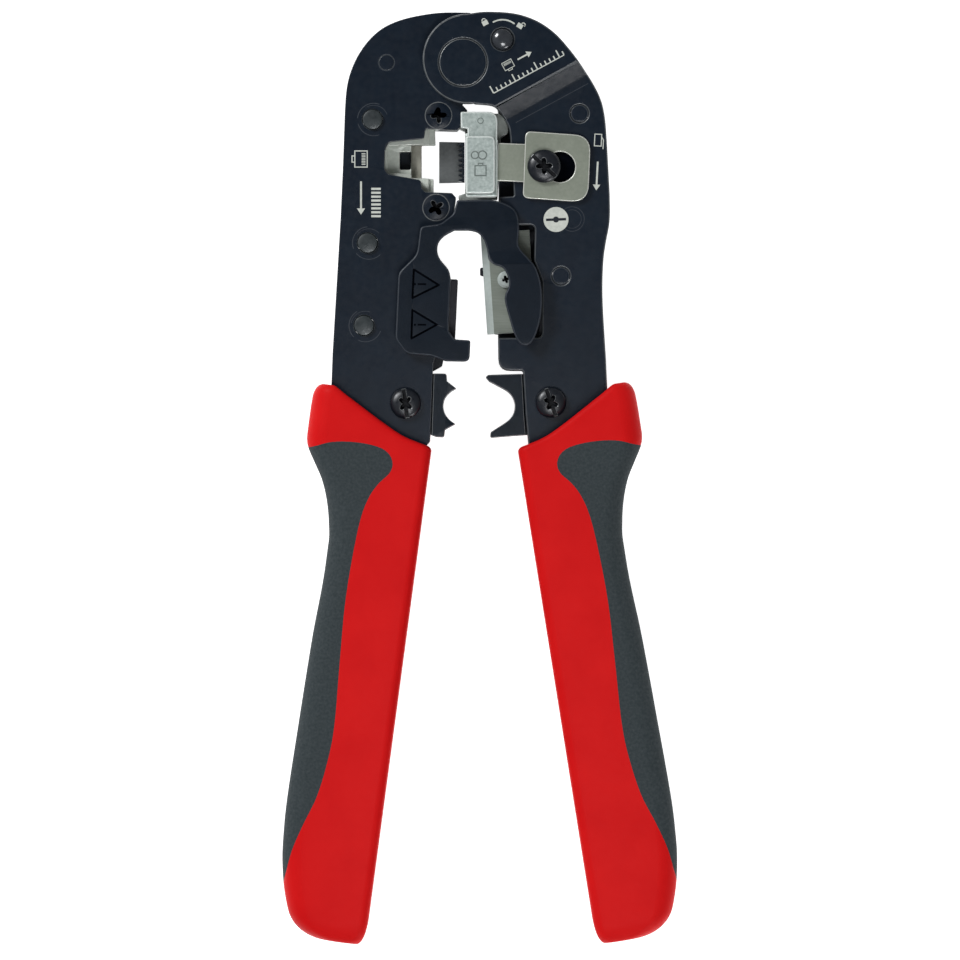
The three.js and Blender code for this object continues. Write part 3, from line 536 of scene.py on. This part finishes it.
def refined(node, width, material, edge_material):
    """Rebuilds a CAD node with its flat faces whole and its outer edges softly rounded."""
    mesh = bmesh.new()
    mesh.from_mesh(frame["nodes"][node].data)
    bmesh.ops.remove_doubles(mesh, verts=mesh.verts, dist=WELD)
    flat = math.radians(FLAT_ANGLE)
    bmesh.ops.dissolve_limit(mesh, angle_limit=flat, verts=mesh.verts, edges=mesh.edges)
    bmesh.ops.triangulate(mesh, faces=mesh.faces, ngon_method="BEAUTY")
    edges = [edge for edge in mesh.edges if is_rim(edge, node)]
    # The rounded edges take the edge material, a lighter colour: painted highlights.
    bmesh.ops.bevel(
        mesh, geom=edges, offset=width * MM, offset_type="OFFSET", segments=2, profile=0.5,
        affect="EDGES", clamp_overlap=False, loop_slide=False, miter_outer="ARC",
        material=EDGE_INDEX,
    )
    bmesh.ops.remove_doubles(mesh, verts=mesh.verts, dist=BEVEL_WELD)
    refill_flats(mesh)
    special_material, is_special = SPECIAL_FACES.get(node, (material, None))
    for face in mesh.faces:
        if is_special and is_special(face.normal, about_pivot(face.calc_center_median())):
            face.material_index = SPECIAL_INDEX
    name = node + "_detail"
    extra = (edge_material, special_material)
    made = piece(name, finished(mesh, name), material, body_of_node(node), extra=extra)
    weighted(made)
    stand_for(node)


def turned_mesh(name, profile, x, y, sides=64):
    """A closed lathe body standing along Z, from a profile of (radius, z) from axis to axis."""
    mesh = bmesh.new()
    rings = []
    for radius, z in profile[1:-1]:
        ring = []
        for i in range(sides):
            angle = math.tau * i / sides
            point = Vector((x + radius * math.cos(angle), y + radius * math.sin(angle), z))
            ring.append(mesh.verts.new((point + PIVOT) * MM))
        rings.append(ring)
    for lower, upper in zip(rings, rings[1:]):
        for j in range(sides):
            k = (j + 1) % sides
            mesh.faces.new((lower[j], lower[k], upper[k], upper[j]))
    mesh.faces.new(reversed(rings[0]))
    mesh.faces.new(rings[-1])
    bmesh.ops.recalc_face_normals(mesh, faces=mesh.faces)
    return finished(mesh, name)


def dome(radius, shank, tip, seat, height):
    """Profile of a pan head: a short wall, then a soft dome."""
    profile = [(0, tip), (shank, tip), (shank, seat)]
    profile += [(radius - 0.06, seat), (radius, seat + 0.08)]
    wall = height * 0.32
    for i in range(11):
        angle = math.pi / 2 * i / 11
        level = seat + wall + (height - wall) * math.sin(angle)
        profile.append((radius * math.cos(angle) ** 0.7, level))
    return profile + [(0.25, seat + height), (0, seat + height)]


def prism(outline, taper, x, y, top, bottom):
    """A cutter from a top outline down to the same outline made smaller."""
    mesh = bmesh.new()

    def ring(scale, z):
        spots = [Vector((x + u * scale, y + v * scale, z)) for u, v in outline]
        return [mesh.verts.new((spot + PIVOT) * MM) for spot in spots]

    high = ring(1.0, top)
    low = ring(taper, bottom)
    mesh.faces.new(high)
    mesh.faces.new(reversed(low))
    for j in range(len(high)):
        k = (j + 1) % len(high)
        mesh.faces.new((high[j], low[j], low[k], high[k]))
    bmesh.ops.recalc_face_normals(mesh, faces=mesh.faces)
    return linked("cutter", finished(mesh, "cutter"))


def cross_outline(reach, turn):
    """Four rounded lobes, as the recess of a cross-head screw."""
    steps = 96
    outline = []
    for i in range(steps):
        angle = math.tau * i / steps
        radius = reach * (0.36 + 0.64 * abs(math.cos(2 * angle)) ** 1.6)
        outline.append((radius * math.cos(angle + turn), radius * math.sin(angle + turn)))
    return outline


def slot_outline(half_length, half_width, turn):
    corners = [
        Vector((-half_length, -half_width)), Vector((half_length, -half_width)),
        Vector((half_length, half_width)), Vector((-half_length, half_width)),
    ]
    return [tuple(Matrix.Rotation(turn, 2) @ corner) for corner in corners]


def head_height(profile, radius):
    """Height of a screw head's surface at a distance from its axis."""
    for (r0, z0), (r1, z1) in zip(profile, profile[1:]):
        if z1 >= z0 and r1 <= radius <= r0 and r0 > r1:
            return z0 + (z1 - z0) * (r0 - radius) / (r0 - r1)
    return profile[-1][1]


def recess_faces(shape, profile, centre, depth):
    """The faces of a cut screw head that lie below its surface."""
    axis = Vector((*centre, 0)) + PIVOT
    floor_level = profile[-1][1] - depth - 0.1
    faces = set()
    for face in shape.faces:
        spot = face.calc_center_median() / MM - axis
        if floor_level < spot.z < head_height(profile, spot.xy.length) - 0.06:
            faces.add(face)
    return faces


def screw(node, profile, centre, reach, depth, turn, has_slot, material="screw"):
    """A screw drawn again with a smooth head, a cross recess and, on some, a slot as well."""
    name = node + "_turned"
    top = profile[-1][1]
    above = top + CUT_ABOVE
    mesh = turned_mesh(name, profile, *centre)
    cross = cross_outline(reach, math.radians(turn))
    cutters = [prism(cross, RECESS_TAPER, *centre, above, top - depth)]
    if has_slot:
        slot = slot_outline(profile[4][0] * 1.1, SLOT_HALF_WIDTH, math.radians(turn + 45))
        cutters.append(prism(slot, 1.0, *centre, above, top - depth * SLOT_DEPTH_SHARE))
    for cutter in cutters:
        mesh = carved(mesh, cutter, "DIFFERENCE")
        bpy.data.objects.remove(cutter)
    shape = bmesh.new()
    shape.from_mesh(mesh)
    bmesh.ops.remove_doubles(shape, verts=shape.verts, dist=CUT_WELD)
    recess = recess_faces(shape, profile, centre, depth)
    rim = [edge for edge in shape.edges if sum(face in recess for face in edge.link_faces) == 1]
    # Painted shade on the recess faces, and painted highlight on the rims round them.
    for face in recess:
        face.material_index = SPECIAL_INDEX
    bmesh.ops.bevel(
        shape, geom=rim, offset=RECESS_RIM * MM, offset_type="OFFSET", segments=1,
        affect="EDGES", clamp_overlap=False, material=EDGE_INDEX,
    )
    shape.to_mesh(mesh)
    shape.free()
    extra = ("worn_edge", "recess")
    made = piece(name, mesh, material, body_of_node(node), 30.0, extra=extra)
    stand_for(node)


def rivet(node, centre):
    """A proud rivet end with a soft shoulder, on a pin through both plates."""
    end = PLATE_TOP + 0.8
    profile = [(0, -end), (1.55, -end), (1.9, -end + 0.1), (2.0, -end + 0.35)]
    profile += [(radius, -z) for radius, z in reversed(profile)]
    name = node + "_turned"
    made = piece(name, turned_mesh(name, profile, *centre), "rivet", "frame", 45.0)
    stand_for(node)


# ---------------------------------------------------------------- handles

def smooth_value(table, x):
    """Reads a smooth curve through a table of (x, y), with limited slopes."""
    if x <= table[0][0]:
        return table[0][1]
    if x >= table[-1][0]:
        return table[-1][1]
    i = next(k for k in range(len(table) - 1) if table[k + 1][0] >= x)
    (x0, y0), (x1, y1) = table[i], table[i + 1]
    slope = (y1 - y0) / (x1 - x0)

    def tangent(k):
        if k == 0 or k == len(table) - 1:
            return slope
        before = (table[k][1] - table[k - 1][1]) / (table[k][0] - table[k - 1][0])
        after = (table[k + 1][1] - table[k][1]) / (table[k + 1][0] - table[k][0])
        return 0.0 if before * after <= 0 else 2 * before * after / (before + after)

    span = x1 - x0
    t = (x - x0) / span
    rise = (2 * t ** 3 - 3 * t ** 2 + 1) * y0 + (3 * t ** 2 - 2 * t ** 3) * y1
    leaving = (t ** 3 - 2 * t ** 2 + t) * span * tangent(i)
    arriving = (t ** 3 - t ** 2) * span * tangent(i + 1)
    return rise + leaving + arriving


def section(inner, outer, half, inner_corner, outer_corner, count=14):
    """Points (v, z) round a rounded rectangle with slightly crowned faces."""
    limit = min((outer - inner) * 0.45, half * 0.8)
    inner_corner = min(inner_corner, limit)
    outer_corner = min(outer_corner, limit)
    middle = (inner + outer) / 2
    reach = (outer - inner) / 2
    face_outer = outer - outer_corner
    face_inner = inner + inner_corner
    points = []
    for quarter in range(4):
        corner = outer_corner if quarter in (0, 3) else inner_corner
        v = face_outer if quarter in (0, 3) else face_inner
        z = half - corner if quarter < 2 else corner - half
        for i in range(count + 1):
            angle = (quarter + i / count) * math.pi / 2
            rise = abs(math.sin(angle))
            spot = v + corner * math.cos(angle)
            drop = FACE_CROWN * rise * ((spot - middle) / reach) ** 2
            points.append((spot, z + corner * math.sin(angle) - math.copysign(drop, z)))
        if quarter in (0, 2):
            start, end = (face_outer, face_inner) if quarter == 0 else (face_inner, face_outer)
            for i in range(1, 10):
                spot = start + (end - start) * i / 10
                level = half - FACE_CROWN * ((spot - middle) / reach) ** 2
                points.append((spot, level if quarter == 0 else -level))
    return points


def handle_ring(s, outer_corner=HANDLE_OUTER_CORNER, inner_cut=0.0, outer_cut=0.0, face_cut=0.0):
    """One ring of the handle; near the top the ring leans along the slanted top edge."""
    lean = max(0.0, 1 - max(s, 0.0) / LEAN_LENGTH) ** 1.5
    outer_u = s + smooth_value(HANDLE_TOP, TOP_OUTER) * lean
    outer = smooth_value(HANDLE_OUTER, outer_u) - outer_cut
    half = HANDLE_HALF - face_cut
    ring = []
    inner = HANDLE_INNER_EDGE + inner_cut
    for v, z in section(inner, outer, half, HANDLE_INNER_CORNER, outer_corner):
        u = s + smooth_value(HANDLE_TOP, min(max(v, 0.0), TOP_END)) * lean
        ring.append((u, v, z))
    return ring


def handle_rings():
    """Rings from the lip inside the top, over its rolled edge and down to the rounded end."""
    rings = []
    for depth in LIP_DEPTHS:
        rings.append(handle_ring(depth, LIP_CORNER, LIP_INSET, LIP_INSET, LIP_INSET))
    for turn in range(ROLL_STEPS + 1):
        angle = math.pi * turn / ROLL_STEPS
        depth = ROLL_RADIUS - ROLL_RADIUS * math.sin(angle)
        corner = 3.4 + 0.8 * turn / ROLL_STEPS
        cut = 1.0 + math.cos(angle)
        rings.append(handle_ring(depth, corner, cut, cut, cut))
    s = 1.6
    while s < HANDLE_LENGTH - END_ROUNDING:
        rings.append(handle_ring(s))
        s += 0.6 if s < 22 else 1.5
    for step in range(END_STEPS + 1):
        angle = math.pi / 2 * step / END_STEPS
        back = 1 - math.cos(angle)
        depth = HANDLE_LENGTH - END_ROUNDING + END_ROUNDING * math.sin(angle)
        rings.append(handle_ring(depth, HANDLE_OUTER_CORNER, *[cut * back for cut in END_CUTS]))
    return rings


def to_tool(u, v, z, place):
    """Moves a point of the handle moulding to the frame."""
    point = Matrix.Rotation(place["tilt"], 3, "Z") @ Vector((place["side"] * v, -u, z))
    return (point + Vector((place["x"], place["y"], 0)) + PIVOT) * MM


def skin(rings, place):
    """A closed mesh through rings of (u, v, z)."""
    mesh = bmesh.new()
    rows = [[mesh.verts.new(to_tool(*point, place)) for point in ring] for ring in rings]
    for upper, lower in zip(rows, rows[1:]):
        for j in range(len(upper)):
            k = (j + 1) % len(upper)
            mesh.faces.new((upper[j], upper[k], lower[k], lower[j]))
    mesh.faces.new(rows[0])
    mesh.faces.new(reversed(rows[-1]))
    bmesh.ops.recalc_face_normals(mesh, faces=mesh.faces)
    return finished(mesh, "handle_skin")


def spline(corners, divisions=8):
    """Points of a smooth curve through the corners."""
    points = []
    before = [corners[0]] + corners
    after = corners[2:] + [corners[-1]]
    for stretch in zip(before, corners, corners[1:], after):
        for i in range(divisions):
            t = i / divisions
            weights = (
                -t + 2 * t ** 2 - t ** 3,
                2 - 5 * t ** 2 + 3 * t ** 3,
                t + 4 * t ** 2 - 3 * t ** 3,
                t ** 3 - t ** 2,
            )
            u, v = (sum(w * p[axis] for w, p in zip(weights, stretch)) / 2 for axis in (0, 1))
            points.append((u, v))
    return points


def grip_prism(place):
    """The space of the soft grip, as a tall prism over its outline."""
    outline = spline(GRIP_EDGE)
    mesh = bmesh.new()
    low = [mesh.verts.new(to_tool(u, v, -GRIP_CUT_HEIGHT, place)) for u, v in outline]
    high = [mesh.verts.new(to_tool(u, v, GRIP_CUT_HEIGHT, place)) for u, v in outline]
    mesh.faces.new(low)
    mesh.faces.new(reversed(high))
    for j in range(len(low)):
        k = (j + 1) % len(low)
        mesh.faces.new((low[j], high[j], high[k], low[k]))
    bmesh.ops.recalc_face_normals(mesh, faces=mesh.faces)
    return linked("grip_prism", finished(mesh, "grip_prism"))


def carved(mesh, cutter, operation):
    """The mesh after a boolean with the cutter object."""
    blank = linked("blank", mesh)
    modifier = blank.modifiers.new("cut", "BOOLEAN")
    modifier.object = cutter
    modifier.operation = operation
    modifier.solver = "EXACT"
    graph = bpy.context.evaluated_depsgraph_get()
    result = bpy.data.meshes.new_from_object(blank.evaluated_get(graph))
    bpy.data.objects.remove(blank)
    return result


def handle(side):
    place = HANDLES[side]
    rings = handle_rings()
    grip_space = grip_prism(place)
    shell = carved(skin(rings, place), grip_space, "DIFFERENCE")
    soft = carved(skin(rings, place), grip_space, "INTERSECT")
    bpy.data.objects.remove(grip_space)
    parts = ((shell, side + "_handle", "red"), (soft, side + "_grip", "grip"))
    for mesh, node, material in parts:
        made = piece(node + "_skin", mesh, material, place["body"], 40.0)
        stand_for(node)


# ---------------------------------------------------------------- printed marks

def ribbon(points, width):
    """Corner points of a band of even width along a line, as a list of quads."""
    quads = []
    for (x0, y0), (x1, y1) in zip(points, points[1:]):
        along = Vector((x1 - x0, y1 - y0)).normalized() * width / 2
        side = Vector((-along.y, along.x))
        start = Vector((x0, y0)) - along * 0.9
        end = Vector((x1, y1)) + along * 0.9
        quads.append([start + side, start - side, end - side, end + side])
    return quads


def arc(x, y, radius, start, end, width, steps=24):
    """Quads of a band along an arc, with angles in degrees."""
    quads = []
    for i in range(steps):
        a = math.radians(start + (end - start) * i / steps)
        b = math.radians(start + (end - start) * (i + 1) / steps)
        near = radius - width / 2
        far = radius + width / 2
        corners = [(near, a), (far, a), (far, b), (near, b)]
        quads.append([Vector((x + r * math.cos(t), y + r * math.sin(t))) for r, t in corners])
    return quads


def round_mark(x, y, radius, steps=32):
    angles = [math.tau * i / steps for i in range(steps)]
    return [[Vector((x + radius * math.cos(a), y + radius * math.sin(a))) for a in angles]]


def bar(left, right, low, high):
    corners = ((left, low), (right, low), (right, high), (left, high))
    return [[Vector(corner) for corner in corners]]


def mark(
    name, shapes, x, y, height, body, turn=0.0, material="ink", scale=1.0, thickness=INK_HEIGHT,
):
    """Flat shapes laid on a face, each as a thin closed slab, turned and placed together."""
    rotation = Matrix.Rotation(math.radians(turn), 2)
    mesh = bmesh.new()
    for i, shape in enumerate(shapes):
        spots = [rotation @ (point * scale) + Vector((x, y)) for point in shape]
        # Shapes that overlap end at heights of their own.
        top = height + thickness + 0.003 * (i % 4)
        low = [mesh.verts.new((Vector((*spot, height)) + PIVOT) * MM) for spot in spots]
        high = [mesh.verts.new((Vector((*spot, top)) + PIVOT) * MM) for spot in spots]
        mesh.faces.new(low)
        mesh.faces.new(reversed(high))
        for j in range(len(low)):
            k = (j + 1) % len(low)
            mesh.faces.new((low[j], high[j], high[k], low[k]))
    bmesh.ops.recalc_face_normals(mesh, faces=mesh.faces)
    made = piece(name, finished(mesh, name), material, body)
    return made


def padlock(is_open):
    """A plain padlock about 2 mm wide, standing upright."""
    shapes = bar(-0.95, 0.95, -1.2, 0.35)
    lean = 0.75 if is_open else 0.0
    shapes += arc(lean, 0.45, 0.6, 0, 180, 0.3, 12)
    shapes += ribbon([(lean + 0.6, 0.3), (lean + 0.6, 0.45)], 0.3)
    return shapes


def plug_icon():
    """A modular plug seen from its contact side, 5 mm wide, with eight contact bars."""
    shapes = ribbon([(-2.6, -2.0), (-2.6, 2.0), (2.6, 2.0), (2.6, -2.0), (-2.6, -2.0)], 0.34)
    shapes += ribbon([(-1.0, -2.0), (-1.0, -2.9), (1.0, -2.9), (1.0, -2.0)], 0.34)
    for i in range(8):
        x = -1.75 + i * 0.5
        shapes += bar(x - 0.13, x + 0.13, 0.2, 1.45)
    return shapes


def arrow_icon(length):
    """A straight arrow pointing along +X."""
    tip = length / 2
    head = [Vector((tip, 0)), Vector((tip - 1.3, 0.85)), Vector((tip - 1.3, -0.85))]
    return bar(-tip, tip - 1.3, -0.2, 0.2) + [head]


def rule(length):
    """A short printed rule: a base line with a tick every millimetre, longer every fifth."""
    shapes = bar(-length / 2, length / 2, -0.85, -0.65)
    for i in range(int(length) + 1):
        x = -length / 2 + i
        top = 0.85 if i % 5 == 0 else 0.1
        shapes += bar(x - 0.13, x + 0.13, -0.7, top)
    return shapes


def contact_bars():
    """Eight bars for the eight contacts of the plug."""
    shapes = []
    for i in range(8):
        shapes += bar(i * 0.78 - 2.95, i * 0.78 - 2.51, -0.95, 0.95)
    return shapes


def guard_sign():
    """A bar and a dot, pointing along +X, for the middle of a warning triangle."""
    return bar(-0.55, 1.15, -0.17, 0.17) + round_mark(-1.1, 0, 0.22, 16)


def clip_icon():
    """The outline of a plug with its tail clip bent down."""
    shapes = ribbon([(-2.2, -1.1), (-2.2, 1.1), (1.6, 1.1), (1.6, -1.1), (-2.2, -1.1)], 0.3)
    shapes += ribbon([(-1.4, 1.1), (-0.4, 1.75), (2.4, 1.75)], 0.3)
    return shapes


def raised_end_marks():
    """Signs on the raised end of the arm, over the pivot."""
    upper = RAISED_TOP
    mark("mark_lock_closed", padlock(False), 4.3, 8.1, upper, "arm", 28, scale=0.62)
    mark("mark_lock_open", padlock(True), 11.5, 7.5, upper, "arm", -32, scale=0.62)
    mark("mark_lock_arc", arc(0, 0, 3.9, 52, 120, 0.3), 7.9, 4.6, upper, "arm")
    mark("mark_plug_small", plug_icon(), 9.0, -0.5, upper, "arm", 28.5, scale=0.4)
    mark("mark_small_arrow", arrow_icon(4.0), 12.3, 1.3, upper, "arm", 28.5, scale=0.8)
    mark("mark_scale", rule(16.0), 12.8, -1.7, upper, "arm", 28.5)


def plate_marks():
    """Signs and fine lines on the plates and on the guard, with painted light and shade: a dark
    disc under the adjuster's slot and light lines on the raised end's lip and the joggle's foot.
    """
    level = PLATE_TOP
    mark("mark_plug", plug_icon(), -20.4, -19.2, level, "frame", -90, scale=0.62)
    mark("mark_pass_arrow", arrow_icon(7.0), -20.4, -27.0, level, "frame", -90, scale=0.95)
    mark("mark_contacts", contact_bars(), -17.4, -27.9, level, "frame", -90)
    mark("mark_clip", clip_icon(), 27.0, -15.6, level, "arm", -93, scale=0.62)
    mark("mark_clip_arrow", arrow_icon(6.4), 26.8, -22.6, level, "arm", -93, scale=0.9)
    mark("mark_slot_disc", round_mark(0, 0, 2.5), 18.6, -31.3, level, "arm")
    slot_bar = bar(-2.0, 2.0, -0.25, 0.25) + round_mark(0, 0, 0.6)
    mark("mark_slot_bar", slot_bar, 18.6, -31.3, level + INK_HEIGHT, "arm", 2, "dark_ink")
    # Painted shade: a nearly black disc under the adjuster's slot stands in for the darkness of
    # a hole through the plate.
    mark("adjuster_slot_painted_shade", round_mark(0, 0, 3.3), 19.4, -20.8, level, "arm", 0, "groove")
    # The signs' bars and dots take the nearly black groove colour too: painted shade.
    for name, y in (("upper", -44.3), ("lower", -52.4)):
        mark("guard_sign_" + name, guard_sign(), -8.5, y, GUARD_TOP, "frame", 0, "groove")
    rings = arc(0, 0, 2.45, -125, 125, 0.13, 40) + arc(0, 0, 1.85, -112, 112, 0.1, 40)
    mark("mark_slot_ring", rings, 21.8, -31.2, level, "arm", 0, "shade")
    # Painted highlight: a light arc along the left edge of the raised end.
    lip = arc(0, 0, 8.72, 100, 275, 0.16, 60)
    mark("raised_end_painted_highlight", lip, 0.9, 0.7, RAISED_TOP, "arm", 0, "worn_edge")
    # Painted highlight: a light line along the foot of the joggle's bend.
    foot = ribbon([(10.6, -11.9), (25.0, -4.1)], 0.12)
    mark("joggle_foot_painted_highlight", foot, 0, 0, level, "arm", 0, "shade")


def rivet_rings():
    """Punch marks round the proud rivets, and the seams of the flush rivets and screws, drawn as
    light rings: the marks and seams are real, their light colour is painted highlight.
    """
    for i, (x, y) in enumerate(RIVETS.values()):
        # The stake rings are drawn on part arcs only, mostly on the side towards the key light:
        # painted highlight.
        ring = arc(0, 0, 3.25, 70, 175, 0.16, 20) + arc(0, 0, 3.25, 195, 290, 0.14, 16)
        ring += arc(0, 0, 2.85, 20, 120, 0.1, 16)
        name = "stake_ring_" + str(i + 1)
        mark(name, ring, x + 0.25, y, PLATE_TOP, "frame", 25 * i, "shade", thickness=0.03)
    ring = arc(0, 0, 1.62, 0, 360, 0.12, 32)
    for name, (centre, body) in FLUSH_RIVETS.items():
        mark("flush_ring_" + name, ring, *centre, PLATE_TOP, body, 0, "shade", thickness=0.015)
    # Each screw ring is wider on its left, where the painted highlight is strongest.
    ring = arc(0, 0, 2.66, 75, 285, 0.17, 28) + arc(0, 0, 2.66, 285, 435, 0.08, 20)
    for node, (centre, _) in FLUSH_SCREWS.items():
        mark(node + "_ring", ring, *centre, PLATE_TOP, "frame", 0, "worn_edge", thickness=0.015)


# ---------------------------------------------------------------- small rebuilt parts

def die_relief():
    """The die's figure and plug outline, raised a little on its cap, and its punch mark."""
    figure = arc(-0.72, 0, 0.72, 0, 360, 0.26, 28) + arc(0.78, 0, 0.82, 0, 360, 0.26, 28)
    outline = ribbon([(-1.1, -1.0), (-1.1, 1.0), (1.1, 1.0), (1.1, -1.0), (-1.1, -1.0)], 0.24)
    outline += ribbon([(-0.45, 1.0), (-0.45, 1.45), (0.45, 1.45), (0.45, 1.0)], 0.24)
    punch = arc(0, 0, 0.55, 0, 360, 0.16, 28)
    places = (
        ("figure", figure, 3.1, -18.5, 7.2),
        ("outline", outline, 3.5, -21.6, 7.2),
        ("punch", punch, 3.5, -11.6, 6.3),
    )
    for name, shapes, *spot in places:
        made = mark("die_" + name, shapes, *spot, "crimp_die", 0, "die_line", thickness=0.05)


def spring():
    """Smooth copy of the return spring."""
    mesh = bmesh.new()
    mesh.from_mesh(frame["nodes"]["return_spring"].data)
    bmesh.ops.remove_doubles(mesh, verts=mesh.verts, dist=WELD)
    name = "return_spring_wire"
    made = piece(name, finished(mesh, name), "bright", "frame", 60.0)
    stand_for("return_spring")


# ---------------------------------------------------------------- stage

def camera():
    lens = bpy.data.cameras.new("camera")
    lens.lens = 300
    lens.sensor_width = 36
    lens.clip_start = 0.01
    made = linked("camera", lens)
    made.location = (0.0001, -0.0005, CAMERA_DISTANCE + PLATE_HEIGHT)
    bpy.context.scene.camera = made


def floor():
    mesh = bmesh.new()
    bmesh.ops.create_grid(mesh, x_segments=1, y_segments=1, size=FLOOR_SIZE)
    made = linked("floor", finished(mesh, "floor"))
    made.location.z = -FLOOR_DROP
    made.data.materials.append(floor_white())


def area_light(name, location, size, power):
    data = bpy.data.lights.new(name, "AREA")
    data.shape = "SQUARE"
    data.size = size
    data.energy = power
    made = linked(name, data)
    made.location = location
    made.rotation_euler = (-Vector(location)).to_track_quat("-Z", "Y").to_euler()


def studio():
    world = bpy.data.worlds.new("studio")
    world.use_nodes = True
    background = world.node_tree.nodes["Background"]
    background.inputs["Color"].default_value = (1, 1, 1, 1)
    background.inputs["Strength"].default_value = 0.15
    bpy.context.scene.world = world
    area_light("key", (-0.55, 0.5, 0.6), 0.3, 6.3)
    area_light("front", (0.05, -0.22, 0.5), 0.2, 0.8)
    area_light("low", (0.34, -0.62, 0.24), 0.25, 1.3)
    area_light("overhead", (0.0, -0.06, 0.32), 0.06, 0.1)
    bpy.context.scene.view_settings.view_transform = "Standard"


camera()
floor()
studio()
for node_name, settings in REFINED.items():
    refined(node_name, *settings)
for node_name, (centre, turn) in FLUSH_SCREWS.items():
    screw(node_name, COUNTERSUNK, centre, 1.85, 1.1, turn, has_slot=False, material="plate")
screw(
    "blade_screw", BLADE_SCREW, BLADE_SCREW_CENTRE,
    reach=1.0, depth=0.45, turn=20, has_slot=False, material="bright",
)
for node_name, (centre, radius, *rest, turn) in PAN_SCREWS.items():
    screw(node_name, dome(radius, *rest), centre, radius * 0.6, 1.2, turn, has_slot=True)
for node_name, centre in RIVETS.items():
    rivet(node_name, centre)
spring()
handle("left")
handle("right")
raised_end_marks()
plate_marks()
rivet_rings()
die_relief()
